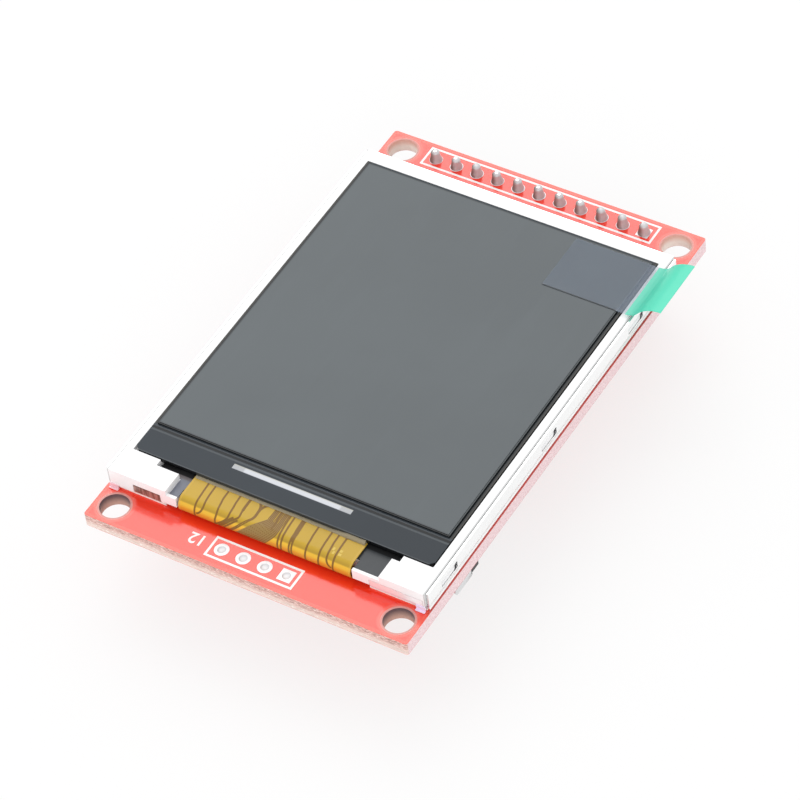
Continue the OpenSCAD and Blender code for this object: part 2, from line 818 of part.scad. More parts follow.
// Each contact is one bent strip: a solder foot, and a spring that rises into the card's room
module card_contacts() {
    color("gold") under_board() for (i = [1 : contact_count])
        translate([0, contact_y(i) - contact_w / 2, 0]) along_y(0, contact_w)
            polygon([[-contact_foot_l, 0], [base_back_t, 0], [contact_l - 1.2, contact_rise - contact_t],
                     [contact_l - 0.6, contact_rise - contact_t], [contact_l, contact_rise - 0.35],
                     [contact_l, contact_rise - 0.2], [contact_l - 0.6, contact_rise],
                     [contact_l - 1.3, contact_rise], [base_back_t, contact_t], [-contact_foot_l, contact_t]]);
}

// ---- small parts on the back ---------------------------------------------

// Chip part: a flat body with a metal cap at each end, cut as one outline
module chip_part(x, y, cap_rise) {
    translate([x, y, 0]) mirror([0, 0, 1]) union() {
        translate([-chip_part_w / 2, -chip_part_l / 2 + chip_cap_l, 0])
            cube([chip_part_w, chip_part_l - 2 * chip_cap_l, chip_part_h]);
        for (s = [-1, 1])
            translate([-chip_part_w / 2, s * (chip_part_l - chip_cap_l) / 2 - chip_cap_l / 2, 0])
                cube([chip_part_w, chip_cap_l, chip_part_h + cap_rise]);
    }
}

module resistor(i) {
    color([0.2, 0.2, 0.22]) chip_part(resistor_x[i - 1], resistor_y, 0.03);
}

module capacitor(i) {
    color([0.7, 0.55, 0.4]) chip_part(capacitor_x[i - 1], capacitor_y, 0.02);
}

module regulator_lead() {
    foot_z = 0;
    along_x(lead_w) polygon([[0, 0.55], [0.2, 0.55], [0.2, foot_z], [0.2 + lead_reach, foot_z],
                             [0.2 + lead_reach, foot_z + lead_t], [0.2 + lead_t, foot_z + lead_t],
                             [0.2 + lead_t, 0.55 + lead_t], [0, 0.55 + lead_t]]);
}

module regulator() {
    color([0.16, 0.16, 0.17]) translate([regulator_x, regulator_y, 0]) mirror([0, 0, 1]) union() {
        translate([-regulator_w / 2, -regulator_d / 2, 0.1])
            cube([regulator_w, regulator_d, regulator_h - 0.1]);
        for (x = [-lead_pitch, 0, lead_pitch])
            translate([x, regulator_d / 2, 0]) regulator_lead();
        for (x = [-lead_pitch, lead_pitch])
            translate([x, -regulator_d / 2, 0]) mirror([0, 1, 0]) regulator_lead();
    }
}

// ---- what is shown -------------------------------------------------------

circuit_board();
header_strip();
header_lands();
header_solder();
spare_lands();
legend_lines();
metal_pan();
backlight_frame();
reflector();
light_guide();
diffuser();
prism_sheet_lower();
prism_sheet_upper();
led_flex();
light_block_tape();
rim_tape();
rear_polarizer();
filter_glass();
array_glass();
front_polarizer();
driver_chip();
display_flex();
flex_bead();
flex_solder();
tape_left();
tape_right();
tape_far();
protective_film();
pull_tab_clear();
pull_tab_green();
card_shell();
card_base();
card_contacts();
regulator();
for (i = [1 : header_pins]) header_pin(i);
for (i = [1 : led_count]) led(i);
for (i = [1 : len(resistor_x)]) resistor(i);
for (i = [1 : len(capacitor_x)]) capacitor(i);
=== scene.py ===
"""Small colour display module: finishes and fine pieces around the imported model, and its stage.

Lengths are in millimetres, apart from the settings and the stage, and piece() turns them into metres.
"""
import math
import random

import bmesh
import bpy
from bpy.props import FloatProperty, FloatVectorProperty, IntProperty, PointerProperty
from mathutils import Matrix, Vector


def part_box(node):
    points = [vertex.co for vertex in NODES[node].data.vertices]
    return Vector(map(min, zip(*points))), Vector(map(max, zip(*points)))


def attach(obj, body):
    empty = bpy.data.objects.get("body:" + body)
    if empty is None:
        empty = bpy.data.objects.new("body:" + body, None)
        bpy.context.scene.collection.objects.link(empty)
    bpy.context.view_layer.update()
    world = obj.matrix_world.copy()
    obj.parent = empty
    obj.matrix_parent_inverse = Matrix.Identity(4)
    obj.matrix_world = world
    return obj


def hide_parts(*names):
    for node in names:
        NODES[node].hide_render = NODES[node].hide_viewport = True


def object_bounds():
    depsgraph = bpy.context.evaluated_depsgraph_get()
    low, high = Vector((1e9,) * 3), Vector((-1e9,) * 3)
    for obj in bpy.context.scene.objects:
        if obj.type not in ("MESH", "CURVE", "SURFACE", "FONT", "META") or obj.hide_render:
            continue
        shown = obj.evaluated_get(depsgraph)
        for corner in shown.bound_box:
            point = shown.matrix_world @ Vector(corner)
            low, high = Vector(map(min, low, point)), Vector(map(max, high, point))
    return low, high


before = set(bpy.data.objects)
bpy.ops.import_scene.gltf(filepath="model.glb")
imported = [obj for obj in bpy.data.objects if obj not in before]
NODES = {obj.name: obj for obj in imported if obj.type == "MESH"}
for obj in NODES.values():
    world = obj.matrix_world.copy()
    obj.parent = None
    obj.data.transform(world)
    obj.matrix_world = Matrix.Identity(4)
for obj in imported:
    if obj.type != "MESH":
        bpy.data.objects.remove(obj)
CAD_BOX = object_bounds()

bl_info = {
    "name": "Display module",
    "version": (1, 0, 0),
    "blender": (4, 5, 0),
    "location": "3D View > Sidebar > Display module",
    "description": "Finishes, printed lines, joints and stage of a small colour display module",
    "category": "Add Mesh",
}

MM = 0.001


def corners(node):
    """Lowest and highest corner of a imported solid."""
    low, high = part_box(node)
    return Vector(low) / MM, Vector(high) / MM


def middle(node):
    low, high = corners(node)
    return (low + high) / 2


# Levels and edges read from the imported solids
BOARD_LOW, BOARD_HIGH = corners("circuit_board")
GLASS_LOW, GLASS_HIGH = corners("array_glass")
FILTER_LOW = corners("filter_glass")[0]
FLEX_LOW, FLEX_HIGH = corners("display_flex")
CHIP_LOW, CHIP_HIGH = corners("driver_chip")
STRIP_LOW, STRIP_HIGH = corners("header_strip")
FILM_LOW, FILM_HIGH = corners("protective_film")
POLARIZER_LOW, POLARIZER_HIGH = corners("front_polarizer")
SHELL_LOW, SHELL_HIGH = corners("card_shell")
CONTACTS_LOW = corners("card_contacts")[0]
PAN_LOW, PAN_HIGH = corners("metal_pan")
TAB_LOW = corners("pull_tab_green")[0]
PADS_LOW = corners("spare_lands")[0]
PADS_Y = middle("spare_lands").y
PINS = sorted((n for n in NODES if n.startswith("header_pin_")), key=lambda n: int(n.split("_")[-1]))
PIN_PLACES = [middle(name) for name in PINS]
SMALL_PARTS = [n for n in NODES if n.startswith(("resistor_", "capacitor_", "regulator"))]

BOARD_TOP, BOARD_BACK = BOARD_HIGH.z, BOARD_LOW.z
PITCH = 2.54
SPARE_PADS = 4
# distance of the screw holes from both edges of the board
HOLE_INSET = 2.3
FLEX_R = (FLEX_HIGH.z - FLEX_LOW.z) / 2
FLEX_BEND_Y = FLEX_LOW.y + FLEX_R
FLEX_MID_Z = (FLEX_HIGH.z + FLEX_LOW.z) / 2
# far ends of the pan's side windows, and their lowest and highest edge
WINDOW_ENDS = tuple(PAN_LOW.y + y for y in (5.8, 25.4, 43.3))
WINDOW_LOW, WINDOW_HIGH = PAN_LOW.z + 0.6, PAN_LOW.z + 1.4
# contacts of the card socket: place of the first, and their pitch
CONTACT_FIRST, CONTACT_PITCH, CONTACTS = 0.25, 1.1, 8
# vertices closer than this are one
MERGE = 1e-4
# the way that the board's back looks
BACKWARDS = (0, 0, -1)

# Camera in the module's frame: its place, then its right, down and forward directions
CAMERA_PLACE = (183.840, -244.269, 326.519)
CAMERA_AXES = ((0.852763, 0.513220, -0.096955),
               (0.323189, -0.664330, -0.673955),
               (-0.410297, 0.543389, -0.732383))


def linear(colour):
    """sRGB 0-255 to linear 0-1 with alpha."""
    shares = (c / 255 for c in colour)
    return (*(c / 12.92 if c <= 0.04045 else ((c + 0.055) / 1.055) ** 2.4 for c in shares), 1.0)


def shade(colour, factor):
    return (*(min(1.0, c * factor) for c in colour[:3]), 1.0)


# ---- sizes and colours that a user would change ---------------------------

def colour_setting(name, description, rgb):
    return FloatVectorProperty(name=name, description=description, subtype="COLOR", size=4,
                               min=0, max=1, default=linear(rgb))


def length_setting(name, description, mm):
    return FloatProperty(name=name, description=description, unit="LENGTH", subtype="DISTANCE",
                         default=mm * MM, min=0, precision=5)


class ModuleColours(bpy.types.PropertyGroup):
    """Colours of the module's finishes"""
    mask: colour_setting("Solder mask", "Red lacquer of the circuit board", (246, 52, 25))
    laminate: colour_setting("Laminate", "Bare glass-fibre board at its cut edges", (238, 214, 204))
    ink: colour_setting("Ink", "Printed lines and numbers on the board", (250, 250, 250))
    housing: colour_setting("Housing", "White frame of the backlight", (246, 246, 247))
    screen: colour_setting("Screen", "Dark film over the switched-off display", (72, 80, 84))
    ledge: colour_setting("Ledge", "Glass ledge over black tape", (38, 47, 55))
    flex: colour_setting("Flex", "Copper seen through amber film", (194, 158, 50))
    trace: colour_setting("Flex lines", "Gaps between the copper areas of the flex", (132, 98, 46))
    tab: colour_setting("Pull tab", "Green end of the pull tab", (70, 216, 182))
    solder: colour_setting("Solder", "Tin of joints and lands", (214, 212, 214))
    gold: colour_setting("Gold plating", "Header pins and contacts", (224, 184, 100))


class ModuleSizes(bpy.types.PropertyGroup):
    """Sizes of the fine pieces, and the light's strength"""
    trace_width: length_setting("Flex line width", "Width of the lines on the flex", 0.2)
    trace_height: length_setting("Flex line height", "How far the lines stand above the flex", 0.012)
    bead_width: length_setting("Bead width", "Width of the clear bead along the ledge", 0.32)
    joint_height: length_setting("Joint height", "Height of the header's solder joints", 1.32)
    joint_radius: length_setting("Joint radius", "Radius of the header's solder joints", 0.68)
    pad_radius: length_setting("Pad radius", "Radius of the spare pads", 0.79)
    copper_height: length_setting("Copper height", "How far tracks stand out under the mask", 0.03)
    track_width: length_setting("Track width", "Width of the tracks on the back", 0.3)
    number_height: length_setting("Number height", "Height of the printed numbers", 1.3)
    ink_height: length_setting("Ink height", "Thickness of printed numbers", 0.02)
    flex_thickness: length_setting("Flex thickness", "Thickness of the amber flex", 0.12)
    seed: IntProperty(name="Seed", description="Start of the small random differences", default=7, min=0)
    softbox_power: FloatProperty(name="Softbox", description="Radiance of the large softbox", default=1.8, min=0)
    fill_power: FloatProperty(name="Fill", description="Radiance of the softbox in front", default=1.9, min=0)
    sky_strength: FloatProperty(name="Sky", description="Strength of the white surroundings", default=0.85, min=0)
    floor_shadow: FloatProperty(name="Floor shadow", description="How much shadow the white floor keeps",
                                default=0.25, min=0, max=1)


def settings(context):
    return context.scene.module_colours, context.scene.module_sizes


# ---- shader maths ----------------------------------------------------------

class Number:
    """A number that varies over a surface; arithmetic on it adds Math nodes."""

    def __init__(self, nodes, socket):
        self.nodes, self.socket = nodes, socket

    def _math(self, operation, *values):
        node = self.nodes.node("ShaderNodeMath", {"operation": operation}, dict(enumerate(values)))
        return Number(self.nodes, node.outputs[0])

    def __add__(self, other):
        return self._math("ADD", self, other)

    __radd__ = __add__

    def __sub__(self, other):
        return self._math("SUBTRACT", self, other)

    def __rsub__(self, other):
        return self._math("SUBTRACT", other, self)

    def __mul__(self, other):
        return self._math("MULTIPLY", self, other)

    __rmul__ = __mul__

    def __truediv__(self, other):
        return self._math("DIVIDE", self, other)

    def __rtruediv__(self, other):
        return self._math("DIVIDE", other, self)

    def __abs__(self):
        return self._math("ABSOLUTE", self)

    def root(self):
        return self._math("SQRT", self)

    def most(self, other):
        return self._math("MAXIMUM", self, other)

    def rest(self, step):
        """What is left over from whole steps, centred on zero."""
        return (self._math("FRACT", self / step + 0.5) - 0.5) * step

    def ramp(self, low, high):
        """0 below low and 1 above high, smooth between them."""
        node = self.nodes.node("ShaderNodeMapRange", {"interpolation_type": "SMOOTHSTEP"},
                               {"Value": self, "From Min": low, "From Max": high})
        return Number(self.nodes, node.outputs["Result"])

    def band(self, low, high, soft=0.02):
        """1 between low and high."""
        return self.ramp(low - soft, low + soft) * (1 - self.ramp(high - soft, high + soft))


class NodeWriter:
    """Writes a node tree, one node at a time."""

    def __init__(self, tree):
        self.tree = tree
        tree.nodes.clear()

    def node(self, kind, settings=None, values=None):
        """Adds a node, sets its options first and then its sockets' values or links."""
        node = self.tree.nodes.new(kind)
        for key, value in (settings or {}).items():
            setattr(node, key, value)
        for key, value in (values or {}).items():
            if isinstance(value, Number):
                value = value.socket
            if isinstance(value, bpy.types.NodeSocket):
                self.tree.links.new(value, node.inputs[key])
            elif value is not None:
                node.inputs[key].default_value = value
        return node

    def seen_directly(self):
        """1 for rays from the camera, and 1 for those and for what mirrors and glass show."""
        path = self.node("ShaderNodeLightPath")
        camera, glossy, through = (Number(self, path.outputs[f"Is {kind} Ray"])
                                   for kind in ("Camera", "Glossy", "Transmission"))
        return camera, camera.most(glossy).most(through)


class Finish(NodeWriter):
    """One procedural material; place, x, y and z are Object coordinates in millimetres."""

    def __init__(self, name):
        self.material = bpy.data.materials.new(name)
        self.material.use_nodes = True
        super().__init__(self.material.node_tree)
        self.output = self.node("ShaderNodeOutputMaterial")
        coordinates = self.node("ShaderNodeTexCoord")
        self.place = self.node("ShaderNodeVectorMath", {"operation": "SCALE"},
                               {0: coordinates.outputs["Object"], "Scale": 1 / MM}).outputs[0]
        split = self.node("ShaderNodeSeparateXYZ", values={0: self.place})
        self.x, self.y, self.z = (Number(self, axis) for axis in split.outputs)

    def noise(self, scale, detail=3.0, roughness=0.5, stretch=None):
        """Cloudy noise, 0 to 1, scaled per millimetre; a larger stretch is finer along that axis."""
        vector = self.place
        if stretch:
            vector = self.node("ShaderNodeVectorMath", {"operation": "MULTIPLY"},
                               {0: vector, 1: stretch}).outputs[0]
        node = self.node("ShaderNodeTexNoise", values={"Vector": vector, "Scale": scale,
                                                       "Detail": detail, "Roughness": roughness})
        return Number(self, node.outputs["Fac"])

    def mix(self, factor, first, second):
        """Mixes two colours: links, sRGB of three values or linear ones of four; factor 0 gives the first."""
        first, second = (c if isinstance(c, bpy.types.NodeSocket) else linear(c) if len(c) == 3 else tuple(c)
                         for c in (first, second))
        return self.node("ShaderNodeMix", {"data_type": "RGBA"}, {0: factor, 6: first, 7: second}).outputs[2]

    def layers(self, colour, *coats):
        """Lays coats over a colour, each a mask and its colour."""
        for mask, coat in coats:
            colour = self.mix(mask, colour, coat)
        return colour

    def bump(self, height, distance, strength=1.0):
        """Bump from a height pattern."""
        return self.node("ShaderNodeBump", values={"Height": height, "Distance": distance * MM,
                                                   "Strength": strength}).outputs["Normal"]

    def surface(self, base, roughness, metallic=0.0, normal=None, **more):
        values = {"Base Color": base, "Roughness": roughness, "Metallic": metallic, "Normal": normal}
        values.update({key.replace("_", " ").title().replace("Ior", "IOR"): v for key, v in more.items()})
        shader = self.node("ShaderNodeBsdfPrincipled", values=values)
        self.tree.links.new(shader.outputs[0], self.output.inputs["Surface"])
        return self.material


# ---- finishes --------------------------------------------------------------

def grained(name, first, second, grain, rough, share=1.0, metallic=0.0, relief=(0.01, 0.5), stretch=None):
    """Two colours mixed by one noise, which also gives the gloss and the relief.

    grain: the noise's scale, detail and roughness; rough: lowest roughness and its range."""
    f = Finish(name)
    patch = f.noise(*grain, stretch=stretch)
    normal = f.bump(patch, *relief) if relief else None
    return f.surface(f.mix(patch * share, first, second), patch * rough[1] + rough[0], metallic, normal)


def board_finish(look):
    """Red mask on both faces, glass-fibre layers at the cut edges, bare rings at the screw holes."""
    f = Finish("board_mask")
    x, y, z = f.x, f.y, f.z
    half_w, half_l = BOARD_HIGH.x, BOARD_HIGH.y
    dx, dy = abs(x) - (half_w - HOLE_INSET), abs(y) - (half_l - HOLE_INSET)
    from_hole = (dx * dx + dy * dy).root()
    weave = f.noise(9.0, 1, stretch=(1, 0.15, 1)) + f.noise(9.0, 1, stretch=(0.15, 1, 1))
    # the copper fill ends a little inside the board's edge, where the mask looks paler
    rim = abs(x).ramp(half_w - 0.45, half_w - 0.3).most(abs(y).ramp(half_l - 0.45, half_l - 0.3))
    # painted shade: the mask darker in the strip beside the pan, where the pan's side shades the board
    shade_beside_pan = x.ramp(half_w - 0.3, half_w - 0.2) * y.band(PAN_LOW.y, PAN_HIGH.y, 0.6)
    mask = f.layers(
        look.mask,
        (f.noise(0.12, 2) * 0.25, shade(look.mask, 0.88)),
        (weave.ramp(0.9, 1.3) * 0.10, shade(look.mask, 1.2)),
        (rim * 0.3, (244, 110, 86)),
        (shade_beside_pan * 0.75, (178, 44, 36)),
        ((1 - from_hole.ramp(1.95, 2.3)) * 0.5, (240, 112, 96)))
    ring = 1 - from_hole.ramp(1.74, 1.90)
    face = f.mix(ring, mask, f.mix(f.noise(6, 4), (228, 162, 152), (196, 130, 124)))
    # cut edge: cloth and resin, with dark flecks under the mask and pale fibres below
    cloth = f.noise(1.0, 2, stretch=(0.7, 0.7, 9.0))
    flecks = f.noise(6.0, 5, 0.7, stretch=(0.5, 0.5, 2.0))
    # screw-hole walls with painted shade: darker towards the top, and the walls of the holes at the near end darker
    # than those at the far end
    near_wall_shading = f.mix(z.ramp(0.1, 1.45), (214, 172, 156), (74, 50, 60))
    far_wall_shading = f.mix(z.ramp(0.5, 1.5), (255, 248, 240), (232, 186, 170))
    hole_wall_shading = f.mix(f.noise(5.0, 4) * 0.25, f.mix(y.ramp(-1, 1), near_wall_shading, far_wall_shading), (170, 128, 120))
    side = f.mix(flecks.ramp(0.4, 0.6), (250, 228, 230), (226, 192, 196))
    edge = f.layers(
        look.laminate,
        (cloth.ramp(0.35, 0.65), shade(look.laminate, 0.82)),
        (z.ramp(0.25, 1.2) * 0.75, (216, 160, 150)),
        (flecks.ramp(0.48, 0.60) * z.ramp(0.5, 1.1) * 0.85, (136, 104, 96)),
        ((1 - flecks.ramp(0.36, 0.46)) * 0.8, (255, 246, 240)),
        (abs(x).ramp(half_w - 0.03, half_w - 0.01), side),
        (1 - from_hole.ramp(1.66, 1.72), hole_wall_shading))
    is_edge = z.band(0.035, BOARD_TOP - 0.035, 0.01)
    return f.surface(f.mix(is_edge, face, edge), is_edge * 0.45 + ring * (1 - is_edge) * 0.25 + 0.17, 0.0,
                     f.bump(weave * 0.5 + flecks * is_edge * 3, 0.02, 0.35),
                     coat_weight=(1 - is_edge) * (1 - ring) * 0.8, coat_roughness=0.12)


def housing_finish(look):
    """White moulded frame with a fine grain and faint flow clouds, and a grey line of painted shade along the seam to
    the pan.
    """
    f = Finish("housing_white")
    # painted shade: a grey line on the frame where it meets the pan
    seam = abs(f.x).band(PAN_HIGH.x - 0.37, PAN_HIGH.x - 0.24, 0.02)
    colour = f.layers(
        look.housing,
        (f.noise(0.25, 3) * 0.5, shade(look.housing, 0.93)),
        (seam * 0.55, (150, 152, 150)))
    fine = f.noise(14, 3)
    return f.surface(colour, fine * 0.12 + 0.34, 0.0, f.bump(fine, 0.006, 0.5))


def pan_finish():
    """Thin bright sheet: rolled streaks along the board, and tabs in front with painted reflections of the red board
    and a painted shadow.
    """
    f = Finish("pan_sheet")
    x, y, z = f.x, f.y, f.z
    streaks = f.noise(3.0, 4, 0.6, stretch=(6, 0.25, 6))
    marks = f.noise(0.5, 4, 0.6)
    ribs = f.noise(4.0, 2, stretch=(1.4, 1, 0.15))
    # painted reflection of the red board: brown with darker ribs on the left tab, with painted shadow along its top,
    # and pale pink on the left foot
    brown = f.layers(
        (176, 138, 128),
        (ribs.ramp(0.4, 0.6), (124, 92, 82)),
        (z.ramp(2.9, 3.3) * 0.5, (84, 58, 54)))
    left = f.mix(x.ramp(-17.5, -17.3), (244, 206, 214), brown)
    # painted reflection of the red board on the right tab: purplish red fading to lavender, and white higher up
    magenta_reflection = f.mix(x.ramp(10.8, 12.6), (206, 70, 130), (242, 226, 248))
    right = f.mix(z.ramp(2.25, 2.4), magenta_reflection, (250, 246, 248))
    front = 1 - y.ramp(PAN_LOW.y + 0.05, PAN_LOW.y + 0.12)
    colour = f.layers(
        (0.98, 0.985, 0.98, 1),
        (streaks * 0.4, (0.88, 0.89, 0.90, 1)),
        (marks.ramp(0.62, 0.75) * 0.15, (0.78, 0.78, 0.78, 1)),
        (front, f.mix(x.ramp(-1, 1), left, right)))
    return f.surface(colour, streaks * 0.12 + 0.26, 1 - front * 0.7, f.bump(streaks, 0.004, 0.4))


def screen_finish(look):
    """Dark satin film with faint clouds, and painted shade along its near edge and on its sides."""
    f = Finish("screen_film")
    cloud = f.noise(0.07, 3, 0.55)
    wipe = f.noise(0.22, 4, 0.6, stretch=(1.6, 0.3, 1))
    # painted shade: a darker band along the near edge, and near-black sides
    near = 1 - (f.y - FILM_LOW.y).ramp(0.0, 0.25)
    side = 1 - f.z.ramp(FILM_HIGH.z - 0.02, FILM_HIGH.z - 0.01)
    colour = f.layers(
        look.screen,
        (cloud.ramp(0.35, 0.7) * 0.45, shade(look.screen, 0.84)),
        (wipe.ramp(0.5, 0.8) * 0.3, shade(look.screen, 1.15)),
        (near * 0.6, (40, 45, 50)),
        (side * 0.9, (20, 22, 26)))
    return f.surface(colour, cloud * 0.08 + 0.18, 0.0, f.bump(f.noise(0.16, 2), 0.10, 0.25),
                     specular_ior_level=0.4)


def polarizer_finish(name):
    """Dark plate whose narrow margin shows round the film, with painted shade on its sides and along its near margin.
    """
    f = Finish(name)
    # painted shade: near-black sides and a near-black strip along the near margin
    side = 1 - f.z.ramp(POLARIZER_HIGH.z - 0.02, POLARIZER_HIGH.z - 0.005)
    near = 1 - (f.y - POLARIZER_LOW.y).ramp(0.17, 0.2)
    colour = f.layers(
        (68, 74, 76),
        (f.noise(3, 2) * 0.4, (54, 59, 62)),
        (side.most(near) * 0.9, (8, 10, 14)))
    return f.surface(colour, side * 0.35 + 0.2, specular_ior_level=0.25)


def glass_finish(look, name, with_chip):
    """Display glass over black tape, with the driver chip showing through its ledge."""
    f = Finish(name)
    x, y, z = f.x, f.y, f.z
    seam = y - FILTER_LOW.y
    from_near = y - GLASS_LOW.y
    # beside the polarizer: a dark line of painted shade, then the warmer tone of the tape's edge
    beside, up = abs(x) - POLARIZER_HIGH.x, seam.ramp(0.3, 0.5)
    edge = 1 - z.ramp(GLASS_HIGH.z - 0.03, GLASS_HIGH.z - 0.01)
    near_edge = edge * (1 - from_near.ramp(0.02, 0.08))
    colour = f.layers(
        look.ledge,
        (f.noise(0.3, 3) * 0.6, shade(look.ledge, 0.8)),
        # painted shade: the ledge darker towards the right
        (x.ramp(-2, 14) * 0.35, shade(look.ledge, 0.55)),
        (seam.band(0.10, 0.42, 0.03), (56, 62, 68)),
        # painted shade: a near-black line at the filter glass's near edge
        (seam.band(-0.17, 0.10, 0.04) * 0.95, (6, 8, 12)),
        (seam.band(-0.44, -0.24, 0.04) * 0.9, (72, 78, 82)),
        (beside.band(-0.05, 0.22, 0.03) * up * 0.8, (28, 30, 32)),
        (beside.ramp(0.2, 0.3) * up * 0.9, (62, 60, 54)),
        # painted shade: the glass's sides near-black
        (edge, (14, 15, 17)),
        (near_edge * x.band(FLEX_LOW.x + 0.1, FLEX_HIGH.x - 0.1, 0.05), (52, 54, 54)),
        # painted highlight: a paler line along the top of the near edge
        (from_near.band(0.0, 0.12, 0.02) * (1 - edge) * 0.3, (104, 108, 110)))
    chip = 0.0
    if with_chip:
        from_centre = abs(x - middle("driver_chip").x)
        half, width = (CHIP_HIGH.x - CHIP_LOW.x) / 2, CHIP_HIGH.y - CHIP_LOW.y
        across = y - CHIP_LOW.y
        chip = from_centre.band(-1, half, 0.03) * across.band(0, width, 0.03) * (1 - edge)
        bar = f.layers(
            (0.275, 0.28, 0.295, 1),
            (f.noise(1.2, 3) * 0.5, (0.25, 0.265, 0.285, 1)),
            (from_centre.ramp(half - 1.5, half - 1.2) * 0.8, (0.18, 0.185, 0.19, 1)),
            (across.ramp(width - 0.14, width - 0.08) * 0.6, (0.21, 0.205, 0.17, 1)),
            ((1 - across.ramp(0.02, 0.09)) * 0.6, (0.15, 0.16, 0.18, 1)))
        colour = f.mix(chip, colour, bar)
    return f.surface(colour, f.noise(0.4, 2) * 0.05 + 0.06, chip, f.bump(f.noise(0.3, 2), 0.05, 0.2),
                     specular_ior_level=0.22)


def chip_finish():
    """Back of a silicon chip: bright in the middle, greyer at both ends, warm along one edge."""
    f = Finish("chip_silicon")
    half = (CHIP_HIGH.x - CHIP_LOW.x) / 2
    ends = abs(f.x - middle("driver_chip").x).ramp(half - 1.6, half - 1.0)
    far = f.y.ramp(CHIP_HIGH.y - 0.12, CHIP_HIGH.y - 0.05)
    colour = f.layers(
        (0.34, 0.35, 0.36, 1),
        (f.noise(2, 3) * 0.4, (0.28, 0.29, 0.30, 1)),
        (ends * 0.7, (0.14, 0.145, 0.15, 1)),
        (far * 0.8, (0.34, 0.32, 0.22, 1)))
    return f.surface(colour, ends * 0.2 + 0.10, 1.0)


def flex_finish(look):
    """Amber film over copper areas: golden, with painted light and shade round the bend, darker at its shoulder and
    orange below it.
    """
    f = Finish("flex_amber")
    cloud, grain = f.noise(0.35, 3), f.noise(8, 3)
    level = (f.z - FLEX_LOW.z) / (FLEX_HIGH.z - FLEX_LOW.z)
    half = (FLEX_HIGH.x - FLEX_LOW.x) / 2
    side = abs(f.x - middle("display_flex").x).ramp(half - 0.26, half - 0.2)
    colour = f.layers(
        look.flex,
        (cloud.ramp(0.3, 0.7) * 0.4, shade(look.flex, 0.88)),
        (f.x.ramp(-9, 4) * 0.25, (178, 146, 44)),
        # painted light and shade round the bend: darker at the shoulder, a bright band below it, orange lower down
        # and dark at the bottom
        ((1 - level.ramp(0.88, 0.99)) * 0.4, (150, 118, 40)),
        (1 - level.ramp(0.80, 0.87), (226, 180, 54)),
        ((1 - level.ramp(0.5, 0.75)) * 0.7, (204, 130, 46)),
        ((1 - level.ramp(0.2, 0.4)) * 0.7, (150, 80, 26)),
        (side * 0.4, (206, 170, 76)))
    return f.surface(colour, grain * 0.1 + 0.26, 0.0, f.bump(cloud + grain * 0.05, 0.05, 0.4),
                     specular_ior_level=0.3)


def flex_print_finish(name, first, second, cloud, rough=0.32, gloss=0.25):
    """Lines and marks on the flex, a little cloudy; cloud: the noise's scale and its share."""
    f = Finish(name)
    colour = f.mix(f.noise(cloud[0], 2) * cloud[1], first, second)
    return f.surface(colour, f.noise(9, 2) * 0.1 + rough, specular_ior_level=gloss)


def mark_finish():
    return flex_print_finish("flex_marks", (214, 186, 88), (200, 170, 76), (4, 0.4), 0.35, 0.3)


def bead_finish():
    """Clear glue, a little cloudy."""
    f = Finish("glue_clear")
    cloud = f.noise(1.6, 3)
    colour = f.mix(cloud, (176, 164, 136), (142, 130, 104))
    return f.surface(colour, cloud * 0.15 + 0.2, 0.0, f.bump(cloud, 0.02, 0.4), alpha=cloud * 0.15 + 0.7)


def block_tape_finish():
    """Grey glossy tape at the bottom of the recess, paler towards the left by a painted reflection, and dark under
    the glass by painted shadow.
    """
    f = Finish("recess_tape")
    soft = f.noise(0.6, 3)
    under = f.y - GLASS_LOW.y
    # painted reflection makes the tape paler on the left; painted shadow of the ledge turns it brownish on the left
    # and then black under the glass
    left, ledge_shadow = 1 - f.x.ramp(-9, -6), under.ramp(-0.42, -0.30)
    colour = f.layers(
        (50, 54, 58),
        (soft * 0.3, (42, 46, 50)),
        (left * 0.7, (128, 132, 146)),
        (under.ramp(-0.9, -0.65) * left * 0.7, (98, 86, 82)),
        (ledge_shadow * 0.95, (10, 12, 15)))
    return f.surface(colour, ledge_shadow * 0.4 + soft * 0.1 + 0.3, 0.0, f.bump(f.noise(0.8, 2), 0.02, 0.3),
                     specular_ior_level=0.4)


def tin_finish(look, name, shaded_side=False):
    """Reflowed tin with soft dull patches; painted shade darkens the left, near side of each joint in the header's
    row.
    """
    f = Finish(name)
    patch = f.noise(2.2, 4, 0.6)
    colour = f.mix(patch, look.solder, shade(look.solder, 0.8))
    normal = f.bump(f.noise(5, 3), 0.02, 0.5)
    if not shaded_side:
        return f.surface(colour, patch * 0.25 + 0.26, 0.8, normal)
    across, along = (f.x - PIN_PLACES[0].x).rest(PITCH), f.y - PIN_PLACES[0].y
    # painted shade: the left, near side of each header joint darker and browner
    joint_shade = (patch * 0.3 - across * 0.8 - along * 0.45).ramp(0.12, 0.62)
    return f.surface(f.mix(joint_shade * 0.85, colour, (104, 82, 72)), patch * 0.2 + 0.38, 0.35, normal)


def land_finish(name="land_tin", tone=1.0):
    """Tinned pads: pale satin metal."""
    return grained(name, shade((0.86, 0.85, 0.86), tone), shade((0.74, 0.73, 0.75), tone), (3, 4, 0.6),
                   (0.4, 0.2), metallic=0.35, relief=(0.01, 0.4))


def gold_finish(look, name, rough, tinned=False):
    """Gold plating; on the pins, what stands above the board is covered in tin."""
    f = Finish(name)
    patch = f.noise(1.5, 3)
    colour = f.mix(patch, look.gold, shade(look.gold, 0.8))
    if tinned:
        colour = f.mix(f.z.ramp(0.4, 0.6), colour, look.solder)
    grain = f.noise(12, 2, stretch=(1, 1, 0.1))
    return f.surface(colour, patch * 0.2 + rough, 1.0, f.bump(grain, 0.004, 0.4))


